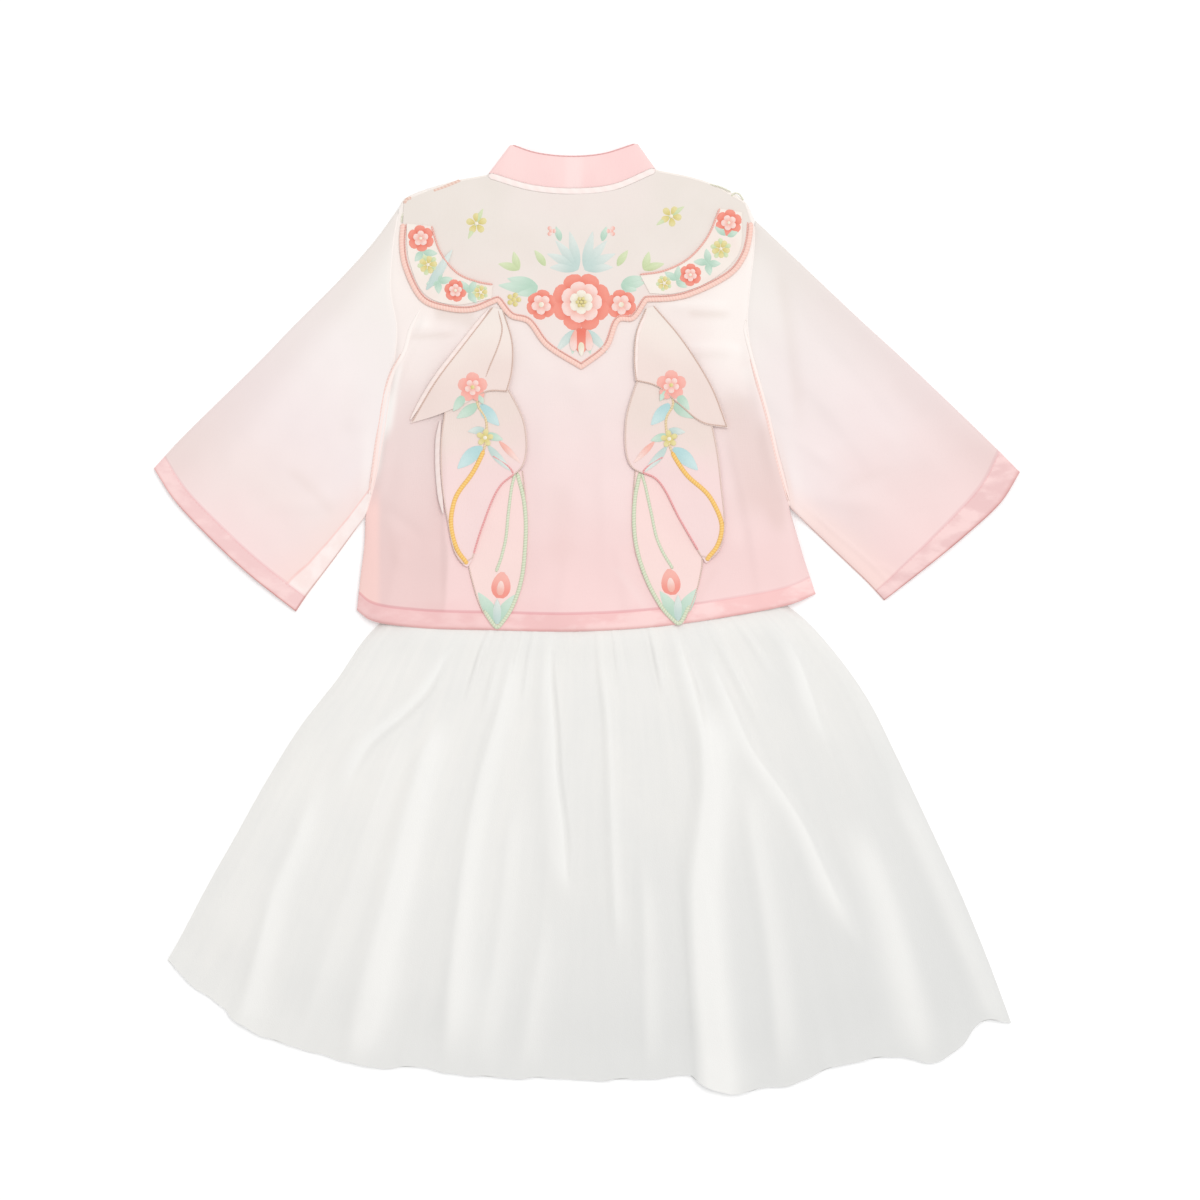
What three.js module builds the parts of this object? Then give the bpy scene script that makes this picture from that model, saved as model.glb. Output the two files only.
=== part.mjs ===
// A hanfu set for a child about 110 cm tall, laid flat with its back up: a jacket with a stand
// collar, a cloud collar and two wing-shaped streamers, over a gathered skirt of lining and tulle.
// Millimetres, +Z up, collar towards +Y, everything resting on z = 0. "Left" is the wearer's left,
// which is -X here. Cloth is modelled as walls that lie on each other with a little room between.
import * as THREE from "three";

const { lerp, smoothstep } = THREE.MathUtils;

// Walls of the cloths, and the room between two pieces.
const SATIN_WALL = 1.2;
const TULLE_WALL = 1.0;
const TRIM_WALL = 1.0;
const COLLAR_WALL = 1.6;
const BAND_WALL = 2.2;
const GAP = 0.3;
const SEAM_GAP = 0.4;
const LAY_GAP = 0.6; // under a loose petal, which bridges the panel's shallow hollows

// Steps of the grids, leg by leg, so that neighbours share their points along a seam.
const SHOULDER_STEPS = 5;
const NECK_STEPS = 10;
const ARMHOLE_STEPS = 8;
const SIDE_STEPS = 4;
const SLEEVE_STEPS = 7;
const PETAL_STEPS = 7;
const PETAL_COLUMNS = 4;
const SKIRT_COLUMNS = 32;
const SKIRT_ROWS = 12;
const LINING_ROWS = 10;

// Jacket: seams and edges, in the plane it lies in.
const SHOULDER_LEFT = [
  { x: -151, y: 330 },
  { x: -147, y: 337 },
  { x: -112, y: 350 },
  { x: -77, y: 357 },
];
const NECK_BACK = [
  { x: -77, y: 357 },
  { x: -46, y: 348 },
  { x: -12, y: 345 },
  { x: 20, y: 348 },
  { x: 52, y: 361 },
];
const SHOULDER_RIGHT = [
  { x: 52, y: 361 },
  { x: 95, y: 351 },
  { x: 126, y: 335 },
  { x: 134, y: 320 },
];
const NECK_FRONT_DEPTH = 20; // how much lower the front neck is at the centre
const ARMHOLE_LEFT = [
  { x: -151, y: 330 },
  { x: -156, y: 299 },
  { x: -158, y: 264 },
  { x: -153, y: 232 },
  { x: -158, y: 184 },
  { x: -164, y: 143 },
  { x: -171, y: 107 },
  { x: -178, y: 82 },
];
const ARMHOLE_RIGHT = [
  { x: 134, y: 320 },
  { x: 133, y: 295 },
  { x: 130, y: 267 },
  { x: 128, y: 236 },
  { x: 134, y: 200 },
  { x: 145, y: 159 },
  { x: 158, y: 111 },
  { x: 162, y: 88 },
];
const SIDE_LEFT = [
  { x: -178, y: 82 },
  { x: -179, y: 59 },
  { x: -182, y: 35 },
  { x: -185, y: 7 },
];
const SIDE_RIGHT = [
  { x: 162, y: 88 },
  { x: 168, y: 67 },
  { x: 174, y: 47 },
  { x: 183, y: 20 },
];
const JACKET_HEM = [
  { x: -185, y: 7 },
  { x: -174, y: -1 },
  { x: -136, y: -7 },
  { x: -76, y: -9 },
  { x: -7, y: -10 },
  { x: 58, y: -6 },
  { x: 120, y: 3 },
  { x: 164, y: 12 },
  { x: 183, y: 20 },
];

// Sleeves: the folded upper edge, the cuff and the lower seam.
const SLEEVE_LEFT = {
  upper: [
    { x: -151, y: 330 },
    { x: -170, y: 304 },
    { x: -200, y: 271 },
    { x: -235, y: 236 },
    { x: -265, y: 205 },
    { x: -328, y: 143 },
    { x: -348, y: 121 },
  ],
  cuff: [
    { x: -348, y: 121 },
    { x: -332, y: 96 },
    { x: -305, y: 67 },
    { x: -273, y: 37 },
    { x: -234, y: 6 },
  ],
  lower: [
    { x: -178, y: 82 },
    { x: -187, y: 66 },
    { x: -202, y: 47 },
    { x: -222, y: 15 },
    { x: -234, y: 6 },
  ],
};
const SLEEVE_RIGHT = {
  upper: [
    { x: 134, y: 320 },
    { x: 152, y: 303 },
    { x: 186, y: 271 },
    { x: 220, y: 239 },
    { x: 255, y: 207 },
    { x: 322, y: 143 },
    { x: 347, y: 118 },
  ],
  cuff: [
    { x: 347, y: 118 },
    { x: 332, y: 94 },
    { x: 302, y: 66 },
    { x: 265, y: 36 },
    { x: 238, y: 15 },
  ],
  lower: [
    { x: 162, y: 88 },
    { x: 183, y: 63 },
    { x: 204, y: 44 },
    { x: 225, y: 24 },
    { x: 238, y: 15 },
  ],
};
const SLEEVE_SETTLE = 0.3; // share of the sleeve's length in which it comes down to the floor
const SLEEVE_FOLDS = [
  { across: 0.3, from: 0.1, to: 0.8, width: 0.13, height: 1.3 },
  { across: 0.72, from: 0.35, to: 1.0, width: 0.12, height: 1.6 },
];

// Stand collar: its free edge along the back, and its height at the centre front.
const COLLAR_TOP = [
  { x: -60, y: 380 },
  { x: -42, y: 374 },
  { x: -15, y: 371 },
  { x: 12, y: 373 },
  { x: 38, y: 381 },
];
const COLLAR_HEIGHT = 24;
const COLLAR_FRONT_STEPS = 5;
const COLLAR_RISE = 4.8;

// Cloud collar: the edge of its three back lobes, and the border laid on each side lobe.
const LOBE_LEFT = [
  { x: -148, y: 317 },
  { x: -149, y: 300 },
  { x: -146, y: 282 },
  { x: -132, y: 256 },
  { x: -113, y: 249 },
  { x: -93, y: 248 },
  { x: -72, y: 256 },
];
const LOBE_MIDDLE_LEFT = [
  { x: -72, y: 256 },
  { x: -61, y: 243 },
  { x: -48, y: 239 },
  { x: -33, y: 220 },
  { x: -5, y: 202 },
];
const LOBE_MIDDLE_RIGHT = [
  { x: -5, y: 202 },
  { x: 15, y: 218 },
  { x: 25, y: 240 },
  { x: 36, y: 241 },
  { x: 47, y: 256 },
];
const LOBE_RIGHT = [
  { x: 47, y: 256 },
  { x: 68, y: 257 },
  { x: 84, y: 261 },
  { x: 116, y: 278 },
  { x: 126, y: 292 },
  { x: 130, y: 306 },
  { x: 131, y: 318 },
];
const SIDE_LOBE_STEPS = 8;
const BINDING_WIDTH = 3.2;
const BINDING_HEIGHT = 1.8;
const CRESCENT_LEFT = {
  inner: [
    { x: -125, y: 315 },
    { x: -118, y: 294 },
    { x: -104, y: 277 },
    { x: -87, y: 270 },
    { x: -76, y: 268 },
  ],
  outer: [
    { x: -145, y: 317 },
    { x: -143, y: 288 },
    { x: -130, y: 260 },
    { x: -107, y: 252 },
    { x: -77, y: 257 },
  ],
};
const CRESCENT_RIGHT = {
  inner: [
    { x: 42, y: 276 },
    { x: 61, y: 279 },
    { x: 81, y: 289 },
    { x: 96, y: 306 },
    { x: 106, y: 329 },
  ],
  outer: [
    { x: 50, y: 261 },
    { x: 70, y: 261 },
    { x: 98, y: 271 },
    { x: 121, y: 293 },
    { x: 124, y: 326 },
  ],
};

// Streamers: each petal by its upper, lower, inner and outer edge, the lowest petal first.
const WING_LEFT = [
  {
    name: "tail",
    layer: 0,
    upper: [
      { x: -84, y: 112 },
      { x: -52, y: 119 },
    ],
    left: [
      { x: -84, y: 112 },
      { x: -89, y: 80 },
      { x: -96, y: 50 },
      { x: -92, y: 28 },
      { x: -85, y: 8 },
      { x: -76, y: -6 },
    ],
    right: [
      { x: -52, y: 119 },
      { x: -49, y: 92 },
      { x: -48, y: 66 },
      { x: -51, y: 34 },
      { x: -59, y: 9 },
      { x: -69, y: -6 },
    ],
    lower: [
      { x: -76, y: -6 },
      { x: -72, y: -8 },
      { x: -69, y: -6 },
    ],
  },
  {
    name: "middle",
    layer: 1,
    upper: [
      { x: -114, y: 172 },
      { x: -66, y: 190 },
    ],
    left: [
      { x: -114, y: 172 },
      { x: -118, y: 140 },
      { x: -117, y: 108 },
      { x: -112, y: 78 },
      { x: -106, y: 53 },
      { x: -99, y: 43 },
    ],
    right: [
      { x: -66, y: 190 },
      { x: -50, y: 156 },
      { x: -51, y: 124 },
      { x: -70, y: 106 },
      { x: -84, y: 74 },
      { x: -93, y: 46 },
    ],
    lower: [
      { x: -99, y: 43 },
      { x: -96, y: 42 },
      { x: -93, y: 46 },
    ],
  },
  {
    name: "upper",
    layer: 2,
    upper: [
      { x: -76, y: 250 },
      { x: -68, y: 248 },
    ],
    left: [
      { x: -76, y: 250 },
      { x: -98, y: 222 },
      { x: -123, y: 189 },
      { x: -142, y: 157 },
    ],
    right: [
      { x: -68, y: 248 },
      { x: -60, y: 222 },
      { x: -60, y: 199 },
      { x: -64, y: 182 },
    ],
    lower: [
      { x: -142, y: 157 },
      { x: -122, y: 163 },
      { x: -100, y: 172 },
      { x: -80, y: 182 },
      { x: -64, y: 182 },
    ],
  },
];
const WING_RIGHT = [
  {
    name: "tail",
    layer: 0,
    upper: [
      { x: 38, y: 119 },
      { x: 66, y: 113 },
    ],
    left: [
      { x: 38, y: 119 },
      { x: 36, y: 92 },
      { x: 37, y: 60 },
      { x: 44, y: 36 },
      { x: 58, y: 9 },
      { x: 69, y: -3 },
    ],
    right: [
      { x: 66, y: 113 },
      { x: 78, y: 81 },
      { x: 92, y: 52 },
      { x: 90, y: 31 },
      { x: 84, y: 13 },
      { x: 77, y: -3 },
    ],
    lower: [
      { x: 69, y: -3 },
      { x: 73, y: -5 },
      { x: 77, y: -3 },
    ],
  },
  {
    name: "middle",
    layer: 1,
    upper: [
      { x: 41, y: 197 },
      { x: 98, y: 166 },
    ],
    left: [
      { x: 41, y: 197 },
      { x: 30, y: 158 },
      { x: 34, y: 123 },
      { x: 55, y: 112 },
      { x: 74, y: 79 },
      { x: 92, y: 49 },
    ],
    right: [
      { x: 98, y: 166 },
      { x: 105, y: 132 },
      { x: 108, y: 104 },
      { x: 110, y: 73 },
      { x: 106, y: 56 },
      { x: 98, y: 47 },
    ],
    lower: [
      { x: 92, y: 49 },
      { x: 95, y: 45 },
      { x: 98, y: 47 },
    ],
  },
  {
    name: "upper",
    layer: 2,
    upper: [
      { x: 47, y: 249 },
      { x: 53, y: 251 },
    ],
    left: [
      { x: 47, y: 249 },
      { x: 39, y: 230 },
      { x: 37, y: 208 },
      { x: 38, y: 191 },
    ],
    right: [
      { x: 53, y: 251 },
      { x: 76, y: 224 },
      { x: 100, y: 186 },
      { x: 113, y: 153 },
    ],
    lower: [
      { x: 38, y: 191 },
      { x: 56, y: 186 },
      { x: 72, y: 173 },
      { x: 92, y: 157 },
      { x: 113, y: 153 },
    ],
  },
];

// Skirt: the waist seam, the two sides and the hem.
const WAIST_SEAM = [
  { x: -145, y: 17 },
  { x: 0, y: 14 },
  { x: 148, y: 19 },
];
const SKIRT_LEFT = [
  { x: -145, y: 17 },
  { x: -178, y: -15 },
  { x: -200, y: -47 },
  { x: -231, y: -87 },
  { x: -259, y: -132 },
  { x: -283, y: -175 },
  { x: -304, y: -212 },
  { x: -325, y: -252 },
  { x: -337, y: -274 },
];
const SKIRT_RIGHT = [
  { x: 148, y: 19 },
  { x: 173, y: 1 },
  { x: 201, y: -30 },
  { x: 226, y: -66 },
  { x: 248, y: -110 },
  { x: 274, y: -165 },
  { x: 298, y: -217 },
  { x: 321, y: -273 },
  { x: 340, y: -324 },
];
const SKIRT_HEM = [
  { x: -337, y: -274 },
  { x: -319, y: -292 },
  { x: -288, y: -317 },
  { x: -252, y: -338 },
  { x: -221, y: -347 },
  { x: -177, y: -359 },
  { x: -130, y: -361 },
  { x: -69, y: -368 },
  { x: 9, y: -370 },
  { x: 84, y: -367 },
  { x: 97, y: -376 },
  { x: 125, y: -381 },
  { x: 163, y: -374 },
  { x: 193, y: -361 },
  { x: 248, y: -351 },
  { x: 276, y: -356 },
  { x: 298, y: -345 },
  { x: 316, y: -323 },
  { x: 340, y: -324 },
];
const BAND_HEIGHT = 25;
const BAND_TAPER = 3;

// Folds of the tulle: place across at the waist and at the hem, where each begins and ends on the
// way down (0 waist, 1 hem), its width as a share of the skirt's, and its height.
const SKIRT_FOLDS = [
  { waist: 0.07, hem: 0.03, from: 0.1, to: 1.1, width: 0.022, height: 2.5 },
  { waist: 0.19, hem: 0.09, from: 0.05, to: 1.1, width: 0.026, height: 5.2 },
  { waist: 0.26, hem: 0.15, from: 0.3, to: 1.1, width: 0.024, height: 2.6 },
  { waist: 0.3, hem: 0.21, from: 0.05, to: 1.1, width: 0.024, height: 4.4 },
  { waist: 0.31, hem: 0.305, from: 0.05, to: 1.1, width: 0.022, height: 4.8 },
  { waist: 0.38, hem: 0.4, from: 0.1, to: 1.1, width: 0.026, height: 2.8 },
  { waist: 0.42, hem: 0.5, from: 0.0, to: 0.6, width: 0.02, height: 3.2 },
  { waist: 0.5, hem: 0.55, from: 0.0, to: 0.75, width: 0.024, height: 3.6 },
  { waist: 0.57, hem: 0.59, from: 0.4, to: 1.1, width: 0.02, height: 2.2 },
  { waist: 0.69, hem: 0.69, from: 0.0, to: 0.5, width: 0.024, height: 3.4 },
  { waist: 0.66, hem: 0.63, from: 0.45, to: 1.1, width: 0.022, height: 4.6 },
  { waist: 0.74, hem: 0.75, from: 0.3, to: 1.1, width: 0.026, height: 3.0 },
  { waist: 0.8, hem: 0.87, from: 0.05, to: 1.1, width: 0.026, height: 5.2 },
  { waist: 0.9, hem: 0.94, from: 0.15, to: 1.1, width: 0.024, height: 2.8 },
];
const GATHER_SHARE = 0.16; // of a fold's height that is left at the waist

// Heights of the skirt's stack, from the floor up.
const LINING_FRONT_Z = TULLE_WALL + GAP;
const LINING_BACK_Z = 2 * LINING_FRONT_Z;
const TULLE_BACK_Z = 3 * LINING_FRONT_Z;

// The jacket bridges from the floor, over the cloud collar's front, and over the skirt's waist.
const YOKE_LIFT = SATIN_WALL + GAP;
const YOKE_FROM_Y = 148;
const YOKE_TO_Y = 195;
const WAIST_LIFT = 5.9;
const WAIST_FROM_Y = 44;
const WAIST_TO_Y = 148;
const SIDE_SHARE = 0.42; // of the lift that is left at the side seams, past the skirt
const SIDE_FALL = 20;

// Soft folds of the back panel, running down it.
const BACK_FOLDS = [
  { x: -140, slant: -0.1, top: 200, bottom: -20, width: 16, height: 1.6 },
  { x: -12, slant: 0.02, top: 190, bottom: -20, width: 24, height: 1.2 },
  { x: 132, slant: 0.14, top: 240, bottom: -20, width: 15, height: 1.8 },
];

// Points evenly spaced along a smooth line through a table's rows.
function along(rows, steps) {
  const points = rows.map((row) => new THREE.Vector3(row.x, row.y, 0));
  return new THREE.CatmullRomCurve3(points, false, "centripetal").getSpacedPoints(steps);
}

// Several lines, end to end, as one.
function joined(...lines) {
  return lines.flatMap((line, i) => (i ? line.slice(1) : line));
}

function moved(line, x, y) {
  return line.map((point) => point.clone().add(new THREE.Vector3(x, y, 0)));
}

// A grid that fills four edges: row by row from the top edge to the bottom one.
function filled(top, bottom, left, right) {
  const columns = top.length - 1;
  const rows = left.length - 1;
  return left.map((leftPoint, r) => {
    const down = r / rows;
    return top.map((topPoint, c) => {
      const across = c / columns;
      const coordinate = (key) => {
        const between = lerp(topPoint[key], bottom[c][key], down);
        const beside = lerp(leftPoint[key], right[r][key], across);
        const corners = lerp(
          lerp(top[0][key], top[columns][key], across),
          lerp(bottom[0][key], bottom[columns][key], across),
          down,
        );
        return between + beside - corners;
      };
      return new THREE.Vector3(coordinate("x"), coordinate("y"), 0);
    });
  });
}

// The grid set at a height, which height(point, row, column) gives.
function raised(grid, height) {
  return grid.map((row, r) =>
    row.map((point, c) => new THREE.Vector3(point.x, point.y, height(point, r, c))),
  );
}

// Height of a raised grid over a place in the plane, or undefined beside it.
function heightOn(grid, x, y) {
  const place = new THREE.Vector3(x, y, 0);
  const weights = new THREE.Vector3();
  for (let r = 0; r + 1 < grid.length; r++) {
    for (let c = 0; c + 1 < grid[r].length; c++) {
      const corners = [grid[r][c], grid[r + 1][c], grid[r + 1][c + 1], grid[r][c + 1]];
      for (const three of [[0, 1, 2], [0, 2, 3]]) {
        const [a, b, d] = three.map((i) => corners[i]);
        const flat = [a, b, d].map((p) => new THREE.Vector3(p.x, p.y, 0));
        THREE.Triangle.getBarycoord(place, ...flat, weights);
        if (Math.min(weights.x, weights.y, weights.z) > -1e-6) {
          return a.z * weights.x + b.z * weights.y + d.z * weights.z;
        }
      }
    }
  }
  return undefined;
}

const part = new THREE.Group();

// A wall between two grids of the same size, closed along its edges; a looped one joins its last
// column to its first.
function addWall(name, color, outer, inner, looped = false) {
  const rows = outer.length;
  const columns = outer[0].length;
  const vertices = [...outer.flat(), ...inner.flat()];
  const outside = (r, c) => r * columns + (c % columns);
  const inside = (r, c) => rows * columns + outside(r, c);
  const faces = [];
  const quad = (a, b, c, d) => faces.push(a, b, c, a, c, d);
  const last = looped ? columns : columns - 1;
  for (let r = 0; r + 1 < rows; r++) {
    for (let c = 0; c < last; c++) {
      quad(outside(r, c), outside(r + 1, c), outside(r + 1, c + 1), outside(r, c + 1));
      quad(inside(r, c), inside(r, c + 1), inside(r + 1, c + 1), inside(r + 1, c));
    }
    if (!looped) {
      quad(outside(r, 0), inside(r, 0), inside(r + 1, 0), outside(r + 1, 0));
      quad(outside(r, last), outside(r + 1, last), inside(r + 1, last), inside(r, last));
    }
  }
  for (let c = 0; c < last; c++) {
    quad(outside(0, c), outside(0, c + 1), inside(0, c + 1), inside(0, c));
    quad(outside(rows - 1, c), inside(rows - 1, c), inside(rows - 1, c + 1), outside(rows - 1, c + 1));
  }
  const geometry = new THREE.BufferGeometry().setFromPoints(vertices);
  geometry.setIndex(faces);
  geometry.computeVertexNormals();
  const material = new THREE.MeshStandardMaterial({ color, roughness: 0.7, metalness: 0 });
  const mesh = new THREE.Mesh(geometry, material);
  mesh.name = name;
  part.add(mesh);
}

// A flat-lying sheet with the given top, as thick as its cloth.
function addSheet(name, color, top, wall) {
  addWall(name, color, top, raised(top, (point) => point.z - wall));
}

// Skirt: tulle and lining, front layers flat on the floor, back layers folded above them.
function foldHeight(across, down) {
  const total = SKIRT_FOLDS.reduce((sum, fold) => {
    const middle = lerp(fold.waist, fold.hem, down);
    const bump = Math.exp(-(((across - middle) / fold.width) ** 2));
    const begun = smoothstep(down, fold.from - 0.1, fold.from + 0.15);
    const ended = smoothstep(down, fold.to - 0.2, fold.to);
    return sum + fold.height * bump * begun * (1 - ended);
  }, 0);
  return total * lerp(GATHER_SHARE, 1, smoothstep(down, 0.05, 0.4));
}

const skirt = filled(
  along(WAIST_SEAM, SKIRT_COLUMNS),
  along(SKIRT_HEM, SKIRT_COLUMNS),
  along(SKIRT_LEFT, SKIRT_ROWS),
  along(SKIRT_RIGHT, SKIRT_ROWS),
);
const folds = raised(skirt, (_, r, c) => foldHeight(c / SKIRT_COLUMNS, r / SKIRT_ROWS));
const overLining = (r, c) => r <= LINING_ROWS && c > 0 && c < SKIRT_COLUMNS;
const tulleBack = raised(
  folds,
  (point, r, c) => (overLining(r, c) ? TULLE_BACK_Z : LINING_FRONT_Z) + point.z + TULLE_WALL,
);
const liningBack = raised(folds, (point) => LINING_BACK_Z + point.z + TULLE_WALL)
  .slice(0, LINING_ROWS + 1)
  .map((row) => row.slice(1, -1));
const everyOther = (list) => list.filter((_, i) => i % 2 === 0);
const flatFront = everyOther(skirt.map(everyOther));
const liningFront = liningBack
  .filter((_, r) => r % 2 === 0)
  .map((row) => row.filter((_, c) => c % 2 === 0));

addSheet("skirt_tulle_front", 0xf4f3ef, raised(flatFront, () => TULLE_WALL), TULLE_WALL);
addSheet(
  "skirt_lining_front",
  0xf8f5f0,
  raised(liningFront, () => LINING_FRONT_Z + TULLE_WALL),
  TULLE_WALL,
);
addSheet("skirt_lining_back", 0xf8f5f0, liningBack, TULLE_WALL);
addSheet("skirt_tulle_back", 0xf4f3ef, tulleBack, TULLE_WALL);

// Waistband: a front and a back strip, sewn on above the gathers.
const bandBottom = moved(along(WAIST_SEAM, 6), 0, SEAM_GAP);
const bandTop = bandBottom.map(
  (point, i) => new THREE.Vector3(point.x + BAND_TAPER * (1 - i / 3), point.y + BAND_HEIGHT, 0),
);
const band = [bandTop, bandBottom];
addSheet("skirt_waistband_front", 0xf8f5f0, raised(band, () => BAND_WALL), BAND_WALL);
addSheet("skirt_waistband_back", 0xf8f5f0, raised(band, () => 2 * BAND_WALL + GAP), BAND_WALL);

// Jacket body: two fronts underneath and the back on them, over the skirt's waist.
function underJacket({ x, y }) {
  const yoke = YOKE_LIFT * smoothstep(y, YOKE_FROM_Y, YOKE_TO_Y);
  const waist = WAIST_LIFT * (1 - smoothstep(y, WAIST_FROM_Y, WAIST_TO_Y));
  const fromLeft = smoothstep(x, SIDE_LEFT.at(-1).x, SIDE_LEFT.at(-1).x + SIDE_FALL);
  const fromRight = smoothstep(-x, -SIDE_RIGHT.at(-1).x, -SIDE_RIGHT.at(-1).x + SIDE_FALL);
  return yoke + waist * lerp(SIDE_SHARE, 1, fromLeft * fromRight);
}

function backDrape({ x, y }) {
  return BACK_FOLDS.reduce((sum, fold) => {
    const middle = fold.x + fold.slant * (fold.top - y);
    const bump = Math.exp(-(((x - middle) / fold.width) ** 2));
    return sum + fold.height * bump * (1 - smoothstep(y, fold.top - 90, fold.top));
  }, 0);
}

const bodyTop = joined(
  along(SHOULDER_LEFT, SHOULDER_STEPS),
  along(NECK_BACK, NECK_STEPS),
  along(SHOULDER_RIGHT, SHOULDER_STEPS),
);
const bodyHem = along(JACKET_HEM, bodyTop.length - 1);
const armholeLeft = along(ARMHOLE_LEFT, ARMHOLE_STEPS);
const armholeRight = along(ARMHOLE_RIGHT, ARMHOLE_STEPS);
const bodyLeft = joined(armholeLeft, along(SIDE_LEFT, SIDE_STEPS));
const bodyRight = joined(armholeRight, along(SIDE_RIGHT, SIDE_STEPS));
const body = filled(bodyTop, bodyHem, bodyLeft, bodyRight);

const underBack = SATIN_WALL + GAP;
const backHeight = (point) => underJacket(point) + underBack + SATIN_WALL + backDrape(point);
const back = raised(body, backHeight);
addSheet("jacket_back", 0xf6dedb, back, SATIN_WALL);

// The front neck hangs below the back neck, deepest at the centre.
const centreColumn = SHOULDER_STEPS + NECK_STEPS / 2;
const neckDrop = (column) => {
  const fromCentre = Math.abs(column - centreColumn) / (NECK_STEPS / 2);
  return fromCentre < 1 ? NECK_FRONT_DEPTH * (1 - fromCentre ** 2) : 0;
};
const front = raised(body, (point) => underJacket(point) + SATIN_WALL);
front[0].forEach((point, c) => {
  point.y -= neckDrop(c);
});
// The two halves of a grid, parted along a column by half a seam's room on each side.
function opened(grid, column) {
  const left = grid.map((row) => row.slice(0, column + 1).map((point) => point.clone()));
  const right = grid.map((row) => row.slice(column).map((point) => point.clone()));
  left.forEach((row) => {
    row[column].x -= SEAM_GAP / 2;
  });
  right.forEach((row) => {
    row[0].x += SEAM_GAP / 2;
  });
  return [left, right];
}
const [openLeft, openRight] = opened(front, centreColumn);
addSheet("jacket_front_left", 0xf6dedb, openLeft, SATIN_WALL);
addSheet("jacket_front_right", 0xf6dedb, openRight, SATIN_WALL);

// Sleeves: flattened tubes, open at the armhole and at the cuff.
function addSleeve(name, armhole, edges, outward) {
  const seam = moved(armhole, outward * SEAM_GAP, 0);
  const cuff = along(edges.cuff, ARMHOLE_STEPS);
  const upper = moved(along(edges.upper, SLEEVE_STEPS), outward * SEAM_GAP, 0);
  const lower = moved(along(edges.lower, SLEEVE_STEPS), outward * SEAM_GAP, 0);
  upper[SLEEVE_STEPS].copy(cuff[0]);
  lower[SLEEVE_STEPS].copy(cuff[ARMHOLE_STEPS]);
  const flat = filled(seam, cuff, upper, lower);
  const edgeHeight = 2 * SATIN_WALL + GAP;
  const topHeight = (point, r, c) => {
    const down = r / SLEEVE_STEPS;
    const across = c / ARMHOLE_STEPS;
    const drape = SLEEVE_FOLDS.reduce((sum, fold) => {
      const bump = Math.exp(-(((across - fold.across) / fold.width) ** 2));
      const begun = smoothstep(down, fold.from, fold.from + 0.25);
      const ended = smoothstep(down, fold.to - 0.2, fold.to + 0.2);
      return sum + fold.height * bump * begun * (1 - ended);
    }, 0);
    const loose = edgeHeight + (0.6 + drape) * Math.sin(Math.PI * across);
    return lerp(backHeight(seam[c]), loose, smoothstep(down, 0, SLEEVE_SETTLE));
  };
  const bottomHeight = (_, r, c) => {
    return lerp(underJacket(seam[c]), 0, smoothstep(r / SLEEVE_STEPS, 0, SLEEVE_SETTLE));
  };
  const top = raised(flat, topHeight);
  const bottom = raised(flat, bottomHeight);
  const ring = (upperSide, lowerSide) =>
    upperSide.map((row, r) => [...row, ...[...lowerSide[r]].reverse()]);
  const inset = (grid) =>
    grid.map((row) =>
      row.map((point, c) => {
        const edge = c === 0 ? row[1] : c === ARMHOLE_STEPS ? row[c - 1] : point;
        const step = new THREE.Vector3(edge.x - point.x, edge.y - point.y, 0);
        return point.clone().addScaledVector(step.normalize(), SATIN_WALL);
      }),
    );
  const outer = ring(top, bottom);
  const inner = ring(
    raised(inset(top), (point) => point.z - SATIN_WALL),
    raised(inset(bottom), (point) => point.z + SATIN_WALL),
  );
  const turned = (grid) => grid.map((row) => [...row].reverse());
  if (outward > 0) {
    addWall(name, 0xf7e6e2, turned(outer), turned(inner), true);
  } else {
    addWall(name, 0xf7e6e2, outer, inner, true);
  }
}

addSleeve("sleeve_left", armholeLeft, SLEEVE_LEFT, -1);
addSleeve("sleeve_right", armholeRight, SLEEVE_RIGHT, 1);

// Stand collar: one band from the centre front, round the back, to the centre front again.
const neckBack = moved(along(NECK_BACK, NECK_STEPS), 0, SEAM_GAP);
const collarTop = along(COLLAR_TOP, NECK_STEPS);
const halfNeck = NECK_STEPS / 2;
function frontHalf(columns, gapSide) {
  return columns.map((c, i) => {
    const low = neckBack[c].clone();
    low.y -= neckDrop(c + SHOULDER_STEPS);
    const high = collarTop[c].clone();
    high.y = lerp(high.y, low.y + COLLAR_HEIGHT, (i + 1) / columns.length);
    if (c === halfNeck) {
      low.x += gapSide;
      high.x = low.x;
    }
    return { low, high };
  });
}
const leftColumns = Array.from({ length: COLLAR_FRONT_STEPS + 1 }, (_, i) => i);
const rightColumns = leftColumns.map((c) => NECK_STEPS - c);
const collarPath = [
  ...frontHalf(leftColumns, -SEAM_GAP).reverse().map((pair) => ({ ...pair, level: 0 })),
  ...collarTop.map((high, c) => ({ low: neckBack[c], high, level: COLLAR_RISE })),
  ...frontHalf(rightColumns, SEAM_GAP).map((pair) => ({ ...pair, level: 0 })),
];
const leftFold = COLLAR_FRONT_STEPS;
const rightFold = leftFold + 1 + NECK_STEPS;
function collarRow(share, isInner) {
  return collarPath.map(({ low, high, level }, i) => {
    const point = low.clone().lerp(high, share);
    point.z = level;
    if (isInner) {
      const atLeft = i === leftFold || i === leftFold + 1;
      const atRight = i === rightFold || i === rightFold + 1;
      point.x += atLeft ? COLLAR_WALL : atRight ? -COLLAR_WALL : 0;
      point.z += level ? -COLLAR_WALL : COLLAR_WALL;
    }
    return point;
  });
}
const collarShares = [1, 0.5, 0];
addWall(
  "collar",
  0xfbdedd,
  collarShares.map((share) => collarRow(share, false)),
  collarShares.map((share) => collarRow(share, true)),
);

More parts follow.
